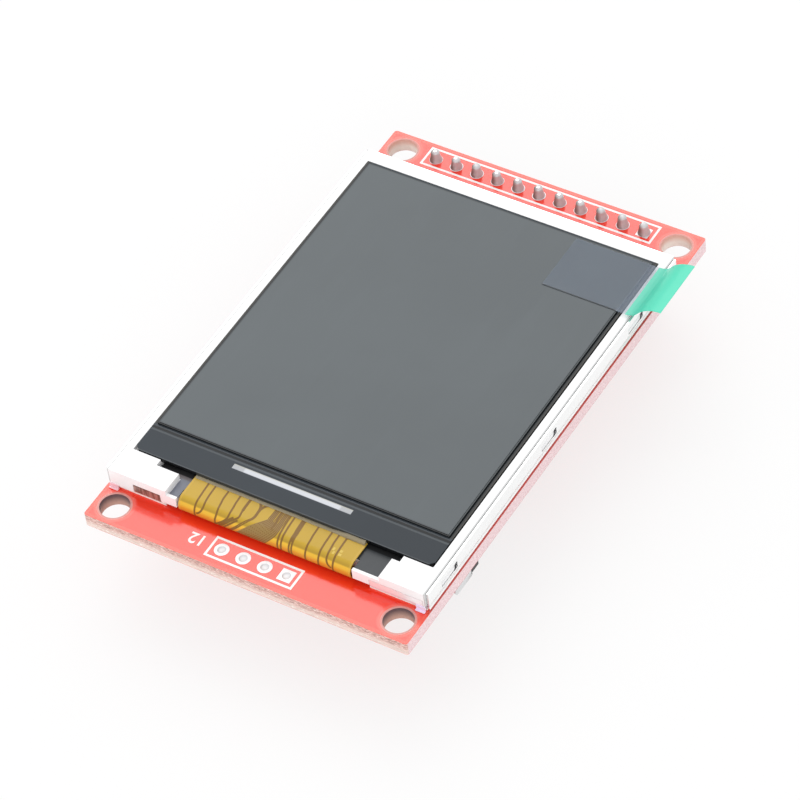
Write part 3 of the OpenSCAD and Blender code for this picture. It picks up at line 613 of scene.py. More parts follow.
def black_finish(name):
    """Black glass-filled plastic with a matt grain."""
    return grained(name, (34, 34, 36), (52, 52, 54), (16, 3), (0.42, 0.2), share=0.6, relief=(0.008, 0.6))


def ink_finish(look):
    """Printed white ink, slightly uneven."""
    f = Finish("board_ink")
    patch = f.noise(7, 4)
    colour = f.mix(patch.ramp(0.45, 0.75) * 0.3, look.ink, (240, 214, 210))
    return f.surface(colour, patch * 0.2 + 0.5, 0.0, f.bump(patch, 0.008, 0.5))


def foam_finish():
    """White foam tape."""
    f = Finish("foam_tape")
    cell = Number(f, f.node("ShaderNodeTexVoronoi", values={"Vector": f.place, "Scale": 5.0}).outputs["Distance"])
    colour = f.mix(cell, (250, 248, 244), (226, 224, 218))
    return f.surface(colour, cell * 0.2 + 0.5, 0.0, f.bump(cell, 0.02, 0.5))


def optic_finish(name, rgb, pitch):
    """Optical sheet: fine parallel prisms or a matt diffuser."""
    f = Finish(name)
    wave = f.node("ShaderNodeTexWave", {"bands_direction": "X"}, {"Vector": f.place, "Scale": pitch})
    ridges = Number(f, wave.outputs["Fac"])
    colour = f.mix(ridges * 0.3, rgb, shade(linear(rgb), 0.85))
    return f.surface(colour, ridges * 0.2 + 0.3, 0.0, f.bump(ridges, 0.01, 0.4))


def clear_tape_finish():
    """Clear tape: a faint bluish veil over the dark film, with a darker cut edge."""
    f = Finish("tape_clear")
    cloud = f.noise(0.35, 4, 0.6)
    cut = 1 - (f.y - corners("pull_tab_clear")[0].y).ramp(0.06, 0.14)
    cut *= 1 - f.x.ramp(POLARIZER_HIGH.x - 0.2, POLARIZER_HIGH.x + 0.1)
    colour = f.layers((160, 176, 196), (cloud, (132, 142, 160)), (cut, (34, 38, 44)))
    return f.surface(colour, cloud * 0.12 + 0.14, 0.0, f.bump(f.noise(0.5, 2), 0.06, 0.3),
                     alpha=(cloud * 0.12 + 0.17).most(cut * 0.75))


def green_tab_finish(look):
    """Green see-through film, paler where it starts."""
    f = Finish("tab_green")
    cloud = f.noise(0.6, 3)
    start = 1 - (f.x - TAB_LOW.x).ramp(0.4, 2.2)
    colour = f.layers(look.tab, (cloud * 0.4, shade(look.tab, 0.93)), (start * 0.5, (104, 206, 184)))
    return f.surface(colour, cloud * 0.1 + 0.26, 0.0, f.bump(f.noise(0.7, 2), 0.08, 0.3),
                     alpha=0.94 - start * 0.12)


def shell_finish():
    """Stamped steel shell with rolled streaks."""
    return grained("shell_steel", (0.80, 0.80, 0.80, 1), (0.62, 0.62, 0.63, 1), (2.5, 4, 0.6), (0.22, 0.15),
                   metallic=1.0, relief=(0.005, 0.5), stretch=(0.3, 5, 5))


def part_finish(name, node, first, second, grain, rough, tinned, tin=0.74, dip=0.0):
    """Small part with two tinned ends of a length; grain: the noise's scale and its share."""
    f = Finish(name)
    low, high = corners(node)
    inner = (high.y - low.y) / 2 - tinned
    ends = abs(f.y - (low.y + high.y) / 2).ramp(inner - 0.01, inner + 0.01)
    noise = f.noise(grain[0], 3)
    colour = f.mix(ends, f.mix(noise * grain[1], first, second), (tin, tin, tin + 0.01, 1))
    return f.surface(colour, noise * 0.15 + rough - ends * dip, ends, f.bump(noise, 0.01, 0.5))


def track_finish(look):
    """Copper track under the mask: a shade lighter than the bare mask."""
    f = Finish("track_mask")
    cloud = f.noise(0.4, 3)
    colour = f.mix(cloud, shade(look.mask, 1.12), shade(look.mask, 0.92))
    return f.surface(colour, cloud * 0.06 + 0.13, 0.0, f.bump(f.noise(7, 2), 0.005, 0.4),
                     coat_weight=0.6, coat_roughness=0.06)


# ---- making pieces ---------------------------------------------------------

def piece(name, bm, material, sharp=35, replaces=None):
    """Turns a finished bmesh into a piece that rides with the module."""
    bmesh.ops.recalc_face_normals(bm, faces=bm.faces)
    bmesh.ops.scale(bm, verts=bm.verts, vec=(MM, MM, MM))
    mesh = bpy.data.meshes.new(name)
    bm.to_mesh(mesh)
    bm.free()
    mesh.materials.append(material)
    mesh.shade_smooth()
    mesh.set_sharp_from_angle(angle=math.radians(sharp))
    made = bpy.data.objects.new(name, mesh)
    bpy.context.scene.collection.objects.link(made)
    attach(made, "root")
    if replaces:
        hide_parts(replaces)


def paint(node, material):
    """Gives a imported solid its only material."""
    NODES[node].data.materials.clear()
    NODES[node].data.materials.append(material)


def smooth_path(points, steps=8):
    """Points of a smooth line through the given ones."""
    pts = [Vector(p) for p in points]
    pts = [2 * pts[0] - pts[1], *pts, 2 * pts[-1] - pts[-2]]
    out = []
    for i in range(1, len(pts) - 2):
        a, b, c, d = pts[i - 1:i + 3]
        for k in range(steps):
            t = k / steps
            out.append(0.5 * ((2 * b) + (c - a) * t + (2 * a - 5 * b + 4 * c - d) * t * t
                              + (3 * b - a - 3 * c + d) * t ** 3))
    out.append(pts[-2])
    return out


def corner_path(points, cut=0.5):
    """A track's path: straight runs whose corners are cut off."""
    pts = [Vector(p) for p in points]
    out = [pts[0]]
    for a, b, c in zip(pts, pts[1:], pts[2:]):
        back, on = a - b, c - b
        k = min(cut, back.length * 0.4, on.length * 0.4)
        out += [b + back.normalized() * k, b + on.normalized() * k]
    out.append(pts[-1])
    return out


def on_flex(x, s, lift):
    """Place on the flex: s runs back from the bend on top and, below zero, round the bend and back."""
    if s >= 0:
        return Vector((x, FLEX_BEND_Y + s, FLEX_HIGH.z + lift))
    turn = min(-s / FLEX_R, math.pi)
    r = FLEX_R + lift
    back = max(0, -s - FLEX_R * math.pi)
    return Vector((x, FLEX_BEND_Y - r * math.sin(turn) + back, FLEX_MID_Z + r * math.cos(turn)))


def on_back(x, y, lift):
    """Place on the board's back face."""
    return Vector((x, y, BOARD_BACK - lift))


def lay_strip(bm, stations):
    """Joins the first station's points in a chain and extrudes that chain from station to station."""
    verts = [bm.verts.new(p) for p in stations[0]]
    edges = [bm.edges.new(pair) for pair in zip(verts, verts[1:])]
    for points in stations[1:]:
        grown = bmesh.ops.extrude_edge_only(bm, edges=edges)["geom"]
        new = {g for g in grown if isinstance(g, bmesh.types.BMVert)}
        verts = [next(e.other_vert(v) for e in v.link_edges if e.other_vert(v) in new) for v in verts]
        for v, p in zip(verts, points):
            v.co = p
        edges = [bm.edges.get(pair) for pair in zip(verts, verts[1:])]


def lay_line(bm, path, width, lift, place):
    """A ribbon along a path in the plane, each step of it placed on a surface."""
    stations = []
    for i, p in enumerate(path):
        along = (path[min(len(path) - 1, i + 1)] - path[max(0, i - 1)]).normalized()
        across = Vector((-along.y, along.x)) * width / 2
        stations.append([place(*(p + across), lift), place(*(p - across), lift)])
    lay_strip(bm, stations)


def thicken(bm, thickness, away=None):
    """Gives lines a body, downwards from their faces, which look outwards or, on a flat side, away from it."""
    bmesh.ops.recalc_face_normals(bm, faces=bm.faces)
    if away:
        bm.normal_update()
        bmesh.ops.reverse_faces(bm, faces=[f for f in bm.faces if f.normal.dot(away) < 0])
    bmesh.ops.solidify(bm, geom=bm.faces[:], thickness=thickness)


def round_edges(bm, verts, offset):
    bmesh.ops.bevel(bm, geom=list({e for v in verts for e in v.link_edges}), offset=offset, offset_type="OFFSET",
                    segments=2, profile=0.5, affect="EDGES", material=-1, clamp_overlap=True)


def block(bm, low, high, bevel=0.0):
    """A block between two corners, its edges rounded."""
    verts = bmesh.ops.create_cube(bm, size=1.0)["verts"]
    low, high = Vector(low), Vector(high)
    bmesh.ops.scale(bm, verts=verts, vec=high - low)
    bmesh.ops.translate(bm, verts=verts, vec=(low + high) / 2)
    if bevel:
        round_edges(bm, verts, bevel)
    return verts


def solder_heap(bm, low, high, height):
    """A low rounded heap of solder on the back, between two corners in the plane."""
    heap_top = 0.55
    verts = block(bm, (*low, BOARD_BACK - height), (*high, BOARD_BACK))
    centre = (Vector(low) + Vector(high)) / 2
    for v in verts:
        if v.co.z < BOARD_BACK - height / 2:
            v.co.xy = centre + (v.co.xy - centre) * heap_top
    round_edges(bm, verts, height * 0.35)


def spun(bm, profile, place, steps=28):
    """Spins a chain of (radius, height) points about the upright axis at a place; returns its vertices."""
    before = set(bm.verts)
    verts = [bm.verts.new((r, 0, h)) for r, h in profile]
    edges = [bm.edges.new(pair) for pair in zip(verts, verts[1:])]
    bmesh.ops.spin(bm, geom=verts + edges, axis=(0, 0, 1), cent=(0, 0, 0), angle=2 * math.pi,
                   steps=steps, use_merge=True)
    bmesh.ops.remove_doubles(bm, verts=[v for v in bm.verts if v not in before], dist=MERGE)
    new = [v for v in bm.verts if v not in before]
    bmesh.ops.translate(bm, verts=new, vec=place)
    return new


def ring_pad(bm, x, y, radius, hole, square):
    """A pad round a hole on both faces of the board: a ring above, square for the first pin, and one below."""
    up, sunk = 0.03, 0.01
    top = Vector((x, y, BOARD_TOP))
    if square:
        inner = bmesh.ops.create_circle(bm, segments=28, radius=hole)["verts"]
        rim = bmesh.ops.create_grid(bm, x_segments=1, y_segments=1, size=radius * 0.96)["verts"]
        plate = rim[0].link_faces[0]
        border = list(plate.edges)
        bmesh.ops.delete(bm, geom=[plate], context="FACES_ONLY")
        bmesh.ops.triangle_fill(bm, use_beauty=True, edges=border + list({e for v in inner for e in v.link_edges}))
        grown = bmesh.ops.extrude_edge_only(bm, edges=border)["geom"]
        walls = [g for g in grown if isinstance(g, bmesh.types.BMVert)]
        bmesh.ops.translate(bm, verts=walls, vec=(0, 0, -up - sunk))
        bmesh.ops.translate(bm, verts=inner + rim + walls, vec=top + Vector((0, 0, up)))
    else:
        spun(bm, [(radius, -sunk), (radius, up * 0.8), (radius - up, up), (hole, up)], top)
    spun(bm, [(radius, sunk), (radius, -up * 0.8), (radius - up, -up), (hole, -up)], Vector((x, y, BOARD_BACK)))


# ---- pieces on the flex ----------------------------------------------------

# Lines of the flex as (x, s), s measured back from the bend
SINGLE_LINES = [
    [(-8.47, 2.45), (-8.38, 1.0), (-8.3, 0.0), (-8.27, -0.7), (-8.25, -1.5), (-8.25, -2.4)],
    [(-7.62, 2.45), (-7.58, 1.2), (-7.5, 0.3), (-7.38, -0.5), (-7.45, -1.0), (-7.75, -1.42), (-8.05, -1.62)],
    [(-6.08, 2.45), (-6.05, 1.2), (-5.93, 0.46), (-5.77, -0.5), (-5.75, -1.0), (-5.82, -1.5), (-5.86, -2.3)],
    [(-4.68, 2.45), (-4.6, 1.2), (-4.5, 0.46), (-4.43, -0.4), (-4.5, -0.83), (-4.79, -1.19), (-5.21, -1.54),
     (-6.0, -2.2)],
    [(-3.46, 2.45), (-3.47, 1.2), (-3.42, 0.4), (-3.34, -0.2), (-3.52, -0.5), (-4.07, -0.97), (-4.6, -1.45),
     (-5.3, -2.1)],
    [(-3.85, -0.5), (-4.4, -1.0), (-5.0, -1.6), (-5.5, -2.1)],
    [(-3.3, -0.62), (-3.75, -1.0), (-4.3, -1.5), (-4.9, -2.1)],
    [(1.28, 2.45), (1.36, 1.0), (1.48, 0.0), (1.54, -1.0), (1.56, -2.4)],
    [(1.73, 2.45), (1.8, 1.0), (1.9, 0.0), (1.96, -1.0), (1.97, -2.4)],
    [(2.64, 2.45), (2.74, 1.0), (2.82, 0.3), (2.87, -1.0), (2.9, -2.4)],
    [(2.95, 2.45), (3.05, 1.0), (3.1, 0.3), (3.17, -1.0), (3.2, -2.4)],
    [(4.52, 2.45), (4.6, 1.0), (4.69, 0.3), (4.76, -0.6), (4.8, -1.5), (4.8, -2.4)],
    [(6.11, 2.45), (6.16, 0.9), (6.21, 0.3), (6.3, -0.8), (6.33, -1.6), (6.33, -2.4)],
    [(6.93, 2.45), (6.96, 1.2), (7.07, 0.3), (7.16, -0.5), (7.2, -0.9), (7.36, -1.28), (7.6, -1.55), (7.8, -1.7)],
    [(7.82, 2.45), (7.87, 1.0), (7.92, 0.2), (7.98, -0.6), (8.0, -1.5), (8.0, -2.4)],
    [(0.28, 2.45), (0.33, 1.2), (0.4, 0.3), (0.45, -0.2)],
]
WIDE_LINES = [
    [(-2.5, 2.4), (-2.15, 2.0), (-1.98, 1.55), (-1.93, 1.0), (-1.93, 0.4), (-2.15, -0.1), (-2.93, -0.97),
     (-3.57, -1.6), (-4.2, -2.2)],
    [(-1.35, 2.4), (-1.72, 2.0), (-1.9, 1.55), (-1.93, 1.2)],
    [(-3.47, 2.4), (-3.48, 1.4), (-3.44, 0.6)],
    [(2.8, 2.4), (2.9, 1.0), (2.97, 0.3), (3.02, -0.6)],
]
# Brown areas where lines lie too close to tell apart
DENSE_WIDTH = 0.5
DENSE_LINES = [
    [(-0.3, 2.4), (-0.25, 1.2), (-0.1, 0.3), (0.1, -0.4)],
    [(0.8, 2.4), (0.84, 1.2), (0.95, 0.2), (1.02, -0.4)],
]
# Left and right limit of the fan of lines, with s, and how many lines it has
FAN_LIMITS = [(-0.62, 1.15, 0.72), (-0.95, 1.2, 0.3), (-1.5, 1.28, -0.3), (-1.85, 1.15, -0.6), (-2.4, 0.8, -1.1),
              (-2.95, 0.35, -1.6), (-3.5, -0.2, -2.2)]
FAN_LINES = 11
# Pale marks: x, s, width and length
MARKS = ((7.38, 0.42, 0.24, 0.4), (7.58, -0.02, 0.22, 0.36), (8.22, 0.45, 0.3, 0.3), (8.3, 0.0, 0.34, 0.3))


class OBJECT_OT_flex_sheet(bpy.types.Operator):
    """Bend the amber flex from under the glass ledge round to the board"""
    bl_idname = "display_module.flex_sheet"
    bl_label = "Flex sheet"

    def execute(self, context):
        look, sizes = settings(context)
        turns, shoulder = 28, 1.6
        bend = FLEX_R * math.pi
        left, right = FLEX_LOW.x, FLEX_HIGH.x
        tail_end = -bend - (FLEX_HIGH.y - FLEX_BEND_Y)
        wide = [GLASS_LOW.y - FLEX_BEND_Y + 0.9, *(-bend * k / turns for k in range(turns + 1)), -bend - 1.5]
        bm = bmesh.new()
        lay_strip(bm, [[on_flex(x, s, 0) for x in (left, left + shoulder, right - shoulder, right)] for s in wide])
        lay_strip(bm, [[on_flex(x, s, 0) for x in (left + shoulder, right - shoulder)] for s in (wide[-1], tail_end)])
        bmesh.ops.remove_doubles(bm, verts=bm.verts, dist=MERGE)
        thicken(bm, sizes.flex_thickness / MM)
        piece("flex_sheet", bm, flex_finish(look), sharp=40, replaces="display_flex")
        return {"FINISHED"}


class OBJECT_OT_flex_lines(bpy.types.Operator):
    """Lay the brown lines, the fan of lines and the pale marks on the bent flex"""
    bl_idname = "display_module.flex_lines"
    bl_label = "Flex lines"

    def execute(self, context):
        look, sizes = settings(context)
        width, lift = sizes.trace_width / MM, sizes.trace_height / MM
        bm = bmesh.new()
        for line in DENSE_LINES:
            lay_line(bm, smooth_path(line), DENSE_WIDTH, lift * 0.35, on_flex)
        sides = (smooth_path([(limit[side], limit[2]) for limit in FAN_LIMITS], 4) for side in (0, 1))
        lay_strip(bm, [[on_flex(*a, lift * 0.5), on_flex(*b, lift * 0.5)] for a, b in zip(*sides)])
        thicken(bm, lift * 0.5)
        dense = linear((150, 122, 72))
        piece("flex_dense", bm, flex_print_finish("flex_dense", dense, shade(dense, 0.78), (3, 0.5)))

        # each line lies a little higher than the one before, so that none shares a face with another
        bm = bmesh.new()
        for i, line in enumerate(SINGLE_LINES):
            lay_line(bm, smooth_path(line), width, lift * (1 + 0.04 * i), on_flex)
        for i, line in enumerate(WIDE_LINES):
            lay_line(bm, smooth_path(line), width * 1.5, lift * (0.70 + 0.05 * i), on_flex)
        # the fan: lines that climb from the lower left and turn into a bundle
        for i in range(FAN_LINES):
            t = i / (FAN_LINES - 1)
            low = Vector((-2.8 + 3.05 * t, -1.7))
            knee = Vector((-0.75 + 1.9 * t, 0.35 - 0.95 * t))
            centre = Vector((-0.55 + 1.75 * t, 1.1 - 0.5 * t))
            top = Vector((-0.5 + 1.6 * t, 2.45))
            start = low + (low - knee).normalized() * 0.7
            lay_line(bm, smooth_path([start, low, knee, centre, top]), width * 0.5,
                     lift * (0.8 + 0.02 * (i % 2)), on_flex)
        thicken(bm, lift)
        lines = flex_print_finish("flex_lines", look.trace, shade(look.trace, 0.78), (3, 0.5))
        piece("flex_lines", bm, lines)

        bm = bmesh.new()
        for x, s, wide, long in MARKS:
            lay_line(bm, smooth_path([(x, s - long / 2), (x, s + long / 2)], 4), wide, lift * 0.8, on_flex)
        thicken(bm, lift)
        piece("flex_marks", bm, mark_finish())
        return {"FINISHED"}


class OBJECT_OT_glue_bead(bpy.types.Operator):
    """Run the clear bead of glue along the ledge, higher towards its right end"""
    bl_idname = "display_module.glue_bead"
    bl_label = "Glue bead"

    def execute(self, context):
        sizes = settings(context)[1]
        low, high = corners("flex_bead")
        draw = random.Random(sizes.seed)
        count, section = 80, 7
        stations = []
        for i in range(count + 1):
            t = i / count
            x = low.x + (high.x - low.x) * t
            swell = min(1.0, max(0.0, (t - 0.80) / 0.10))
            wide = sizes.bead_width / MM * (1 + 0.2 * swell) * (1 + draw.uniform(-0.05, 0.05))
            tall = (high.z - low.z) * (0.35 + 0.6 * swell) * (1 + draw.uniform(-0.04, 0.04))
            corner = Vector((x, high.y, low.z))
            # rounded slope from the glass edge down to the flex
            turns = (math.pi / 2 * k / (section - 1) for k in range(section))
            slope = [corner + Vector((0, -wide * math.sin(a), tall * math.cos(a))) for a in turns]
            stations.append([corner, *slope, corner])
        bm = bmesh.new()
        lay_strip(bm, stations)
        bmesh.ops.remove_doubles(bm, verts=bm.verts, dist=MERGE)
        bmesh.ops.holes_fill(bm, edges=[e for e in bm.edges if e.is_boundary], sides=0)
        piece("glue_bead", bm, bead_finish(), sharp=60, replaces="flex_bead")
        return {"FINISHED"}


# ---- joints and prints on the board ----------------------------------------

class OBJECT_OT_header_joints(bpy.types.Operator):
    """Build the header's pads and its solder joints, each a round-topped cone over its pin"""
    bl_idname = "display_module.header_joints"
    bl_label = "Header joints"

    def execute(self, context):
        look, sizes = settings(context)
        draw = random.Random(sizes.seed + 1)
        pad_radius, foot, top = sizes.joint_radius / MM * 1.08, 0.05, 0.47
        # share of the height at which the cone ends and the round top starts
        cone = 0.78
        bm, pads = bmesh.new(), bmesh.new()
        for i, pin in enumerate(PIN_PLACES):
            ring_pad(pads, pin.x, pin.y, pad_radius, top, i == len(PINS) - 1)
            height = sizes.joint_height / MM * (1 + draw.uniform(-0.03, 0.03))
            radius = sizes.joint_radius / MM * (1 + draw.uniform(-0.04, 0.03))
            profile = [(radius, 0), (radius, foot)]
            for t in (k / 7 for k in range(1, 8)):
                profile.append((top + (radius - top) * (1 - t) ** 1.6, foot + (height - foot) * cone * t))
            for k in range(1, 6):
                a = math.pi / 2 * k / 5
                profile.append((top * math.cos(a) if k < 5 else 0, height * (cone + (1 - cone) * math.sin(a))))
            lean = Vector((draw.uniform(-0.05, 0.05), draw.uniform(-0.05, 0.05)))
            for v in spun(bm, profile, Vector((pin.x, pin.y, BOARD_TOP))):
                v.co.xy += lean * (v.co.z - BOARD_TOP) / height
        piece("header_joints", bm, tin_finish(look, "solder_tin", shaded_side=True), sharp=60,
              replaces="header_solder")
        piece("header_pads", pads, land_finish(), sharp=40, replaces="header_lands")
        return {"FINISHED"}


class OBJECT_OT_spare_pads(bpy.types.Operator):
    """Build the four spare pads: rings whose holes are filled with tin, the last one square"""
    bl_idname = "display_module.spare_pads"
    bl_label = "Spare pads"

    def execute(self, context):
        sizes = settings(context)[1]
        hole = 0.46
        dish = [(hole * 1.02, 0.02), (hole * 0.9, -0.05), (hole * 0.5, -0.09), (0, -0.1)]
        dome = [(hole * 1.02, -0.02), (hole * 0.7, 0.06), (0, 0.12)]
        bm, fill = bmesh.new(), bmesh.new()
        for i in range(SPARE_PADS):
            x = middle("spare_lands").x + (i - (SPARE_PADS - 1) / 2) * PITCH
            ring_pad(bm, x, PADS_Y, sizes.pad_radius / MM, hole, i == SPARE_PADS - 1)
            spun(fill, dish, Vector((x, PADS_Y, BOARD_TOP)))
            spun(fill, dome, Vector((x, PADS_Y, BOARD_BACK)))
        piece("spare_pads", bm, land_finish(), sharp=40, replaces="spare_lands")
        piece("spare_fill", fill, land_finish("tin_fill", 0.86), sharp=60)
        return {"FINISHED"}


class OBJECT_OT_pan_details(bpy.types.Operator):
    """Add the rim that shows under the pan's sides, the pan's corner feet, and dark strips of painted shade at the
    ends of its windows
    """
    bl_idname = "display_module.pan_details"
    bl_label = "Pan details"

    def execute(self, context):
        steel = pan_finish()
        rims, feet, shade_strips = bmesh.new(), bmesh.new(), bmesh.new()

        def at_side(bm, side, inner, outer, low, high, bevel=0.0):
            """A block at one side of the pan, its x limits counted from the pan's outer face."""
            x0, x1 = sorted((side * (PAN_HIGH.x + inner), side * (PAN_HIGH.x + outer)))
            return block(bm, (x0, *low), (x1, *high), bevel)

        for side in (-1, 1):
            at_side(rims, side, -0.3, 0.03, (PAN_LOW.y + 0.3, BOARD_TOP + 0.03),
                    (PAN_HIGH.y - 0.3, PAN_LOW.z + 0.06), 0.03)
            at_side(feet, side, -1.35, -0.25, (PAN_LOW.y - 0.12, BOARD_TOP + 0.02),
                    (PAN_LOW.y + 0.05, PAN_LOW.z + 0.35), 0.06)
            at_side(feet, side, -1.35, -0.25, (PAN_LOW.y - 0.34, BOARD_TOP + 0.02),
                    (PAN_LOW.y - 0.05, BOARD_TOP + 0.16), 0.05)
            for y in WINDOW_ENDS:
                for v in at_side(shade_strips, side, -0.06, 0.008, (y - 0.26, WINDOW_LOW), (y, WINDOW_HIGH)):
                    # each strip of painted shade leans: its upper end lies further back
                    v.co.y -= (WINDOW_HIGH - v.co.z) * 0.45
        piece("pan_rims", rims, steel)
        piece("pan_feet", feet, steel)
        # painted shade: a thin dark sheet on the pan where each window's end lies in shade
        dark = grained("window_shade_dark", (30, 32, 36), (62, 62, 66), (6, 2), (0.6, 0.2), relief=None)
        piece("window_shades", shade_strips, dark)
        return {"FINISHED"}


class OBJECT_OT_socket_details(bpy.types.Operator):
    """Add the card socket's bright corner and the black block beside its mouth"""
    bl_idname = "display_module.socket_details"
    bl_label = "Socket details"

    def execute(self, context):
        sheet, gap = 0.2, 0.03
        x, y, z = SHELL_HIGH.x, SHELL_LOW.y, SHELL_LOW.z
        corner_end, block_end = y + 2.95, y + 4.4
        bm = bmesh.new()
        block(bm, (x - sheet, y + 0.05, z + 0.02), (x + 0.03, corner_end, -gap), 0.07)
        block(bm, (x - 1.1, y + 0.1, z + 0.01), (x - 0.05, corner_end, z + sheet), 0.06)
        piece("socket_corner", bm, shell_finish())
        bm = bmesh.new()
        block(bm, (x - 1.3, corner_end + 0.02, z + 0.25), (x - 0.02, block_end, -gap), 0.08)
        piece("socket_block", bm, black_finish("socket_block_black"))
        return {"FINISHED"}


def flat_number(text, size, place, turn=0.0, mirror=1):
    """A printed number as a thin solid, flat on the board."""
    curve = bpy.data.curves.new("number", "FONT")
    curve.body = text
    curve.size = size * MM
    curve.align_x = curve.align_y = "CENTER"
    curve.extrude = 0.01 * MM
    curve.offset = curve.size * 0.012
    curve.resolution_u = 3
    number = bpy.data.objects.new("number", curve)
    bpy.context.scene.collection.objects.link(number)
    bpy.context.view_layer.update()
    mesh = bpy.data.meshes.new_from_object(number.evaluated_get(bpy.context.evaluated_depsgraph_get()))
    bpy.data.objects.remove(number)
    bpy.data.curves.remove(curve)
    mesh.transform(Matrix.Translation(place) @ Matrix.Rotation(turn, 4, "Z")
                   @ Matrix.Diagonal((mirror / MM, 1 / MM, 1 / MM, 1)))
    return mesh


def number_piece(name, meshes, material):
    bm = bmesh.new()
    for mesh in meshes:
        bm.from_mesh(mesh)
        bpy.data.meshes.remove(mesh)
    bmesh.ops.remove_doubles(bm, verts=bm.verts, dist=MERGE / 10)
    piece(name, bm, material)


class OBJECT_OT_prints(bpy.types.Operator):
    """Print the numbers on the board: one at the spare pads, and the pin numbers on the back"""
    bl_idname = "display_module.prints"
    bl_label = "Printed numbers"

    def execute(self, context):
        look, sizes = settings(context)
        ink, height, lift = ink_finish(look), sizes.number_height / MM, 0.012
        place = (PADS_LOW.x - 2.1, PADS_Y + 0.15, BOARD_TOP + lift)
        number_piece("front_number", [flat_number("12", height * 1.5, place, turn=math.pi)], ink)
        number_piece("pin_numbers",
                     [flat_number(str(i + 1), height, (pin.x, STRIP_LOW.y - 1.1, BOARD_BACK - lift), mirror=-1)
                      for i, pin in enumerate(PIN_PLACES)], ink)
        paint("legend_lines", ink)
        return {"FINISHED"}


# ---- the back ---------------------------------------------------------------

def back_layout():
    """Paths of the tracks on the back, and the places of the vias at their ends."""
    tracks, vias = [], []

    def track(*path, via=None):
        tracks.append([*path, via] if via else list(path))
        if via:
            vias.append(via)

    pin_end = PIN_PLACES[0].y - 1.0
    # from the pins to the regulator's upper leads and down to the resistors' near ends
    regulator, regulator_top = middle("regulator"), corners("regulator")[1].y
    resistors = sorted((n for n in SMALL_PARTS if n.startswith("resistor_")), key=lambda n: middle(n).x)
    for i, name in enumerate(resistors):
        x, y = middle(name).xy
        bottom, top = (corner.y for corner in corners(name))
        pin = PIN_PLACES[i + 1].x
        if abs(pin - regulator.x) < 2.0:
            lead = regulator.x + math.copysign(0.95, pin - regulator.x)
            track((pin, pin_end), (pin, regulator_top + 2.4), (lead, regulator_top + 1.6), (lead, regulator_top))
            track((x, top), via=(x, top + 2.4))
        else:
            lane = top + 1.6 + 0.75 * (5 - i)
            track((pin, pin_end), (pin, lane), (x, lane), (x, top))
        track((x, bottom), via=(x, y - 3.2 - 0.5 * (i % 2)))
    # short supply tracks below the capacitors
    for name in ("capacitor_1", "capacitor_2"):
        x, bottom = middle(name).x, corners(name)[0].y
        track((x, bottom), via=(x, bottom - 1.3))
    # from the right-hand pins to every second contact of the card socket
    left = CONTACTS_LOW.x
    for i in range(4):
        contact = CONTACTS_LOW.y + CONTACT_FIRST + 2 * CONTACT_PITCH * i
        pin, lane, turn = PIN_PLACES[7 + i].x, left - 4.0 + 0.8 * i, 13.5 - 0.9 * i
        track((pin, pin_end), (pin, turn), (lane + 4.2, turn - 3.0), (lane, turn - 8.0), (lane, contact),
              (left + 0.2, contact))
    for i in range(SPARE_PADS):
        x = middle("spare_lands").x + (i - (SPARE_PADS - 1) / 2) * PITCH
        track((x, PADS_Y + 0.8), via=(x, PADS_Y + 3.2 + 0.9 * i))
    return tracks, vias


def distance_to_path(spot, path):
    """How far a spot lies from a path of straight runs."""
    nearest = []
    for a, b in zip(path, path[1:]):
        a, b = Vector(a), Vector(b)
        share = (spot - a).dot(b - a) / (b - a).length_squared
        nearest.append((spot - a.lerp(b, min(max(share, 0.0), 1.0))).length)
    return min(nearest)


class OBJECT_OT_back_tracks(bpy.types.Operator):
    """Lay the tracks and vias on the back of the board"""
    bl_idname = "display_module.back_tracks"
    bl_label = "Back tracks"

    def execute(self, context):
        look, sizes = settings(context)
        width, copper = sizes.track_width / MM, sizes.copper_height / MM
        via_radius, loose_vias, step_up, raised = 0.32, 34, 0.0005, 13
        tracks, vias = back_layout()
        bm = bmesh.new()
        for i, path in enumerate(tracks):
            # each track lies a little higher than the one before, and the last resistor's by its own height
            lay_line(bm, corner_path(path), width, copper * (1 + (i == raised)) + i * step_up, on_back)
        thicken(bm, copper, BACKWARDS)
        piece("back_tracks", bm, track_finish(look))

        draw = random.Random(sizes.seed + 2)
        loose = [Vector((draw.uniform(-16.5, 16.5), draw.uniform(-25.5, 24.0))) for _ in range(loose_vias)]
        vias += [spot for spot in loose if all(distance_to_path(spot, path) >= 0.75 for path in tracks)]
        bm = bmesh.new()
        for x, y in vias:
            in_socket = SHELL_LOW.x - 1 < x and SHELL_LOW.y - 1 < y < SHELL_HIGH.y + 1
            near_part = any(abs(x - c.x) < 1.8 and abs(y - c.y) < 2.2 for c in map(middle, SMALL_PARTS))
            if in_socket or near_part or abs(x) > 14 and abs(y) > 24:
                continue
            ring = bmesh.ops.create_circle(bm, cap_ends=True, segments=20, radius=via_radius)["verts"]
            bmesh.ops.translate(bm, verts=ring, vec=on_back(x, y, copper / 2))
        thicken(bm, copper, BACKWARDS)
        piece("back_vias", bm, track_finish(look))
        return {"FINISHED"}


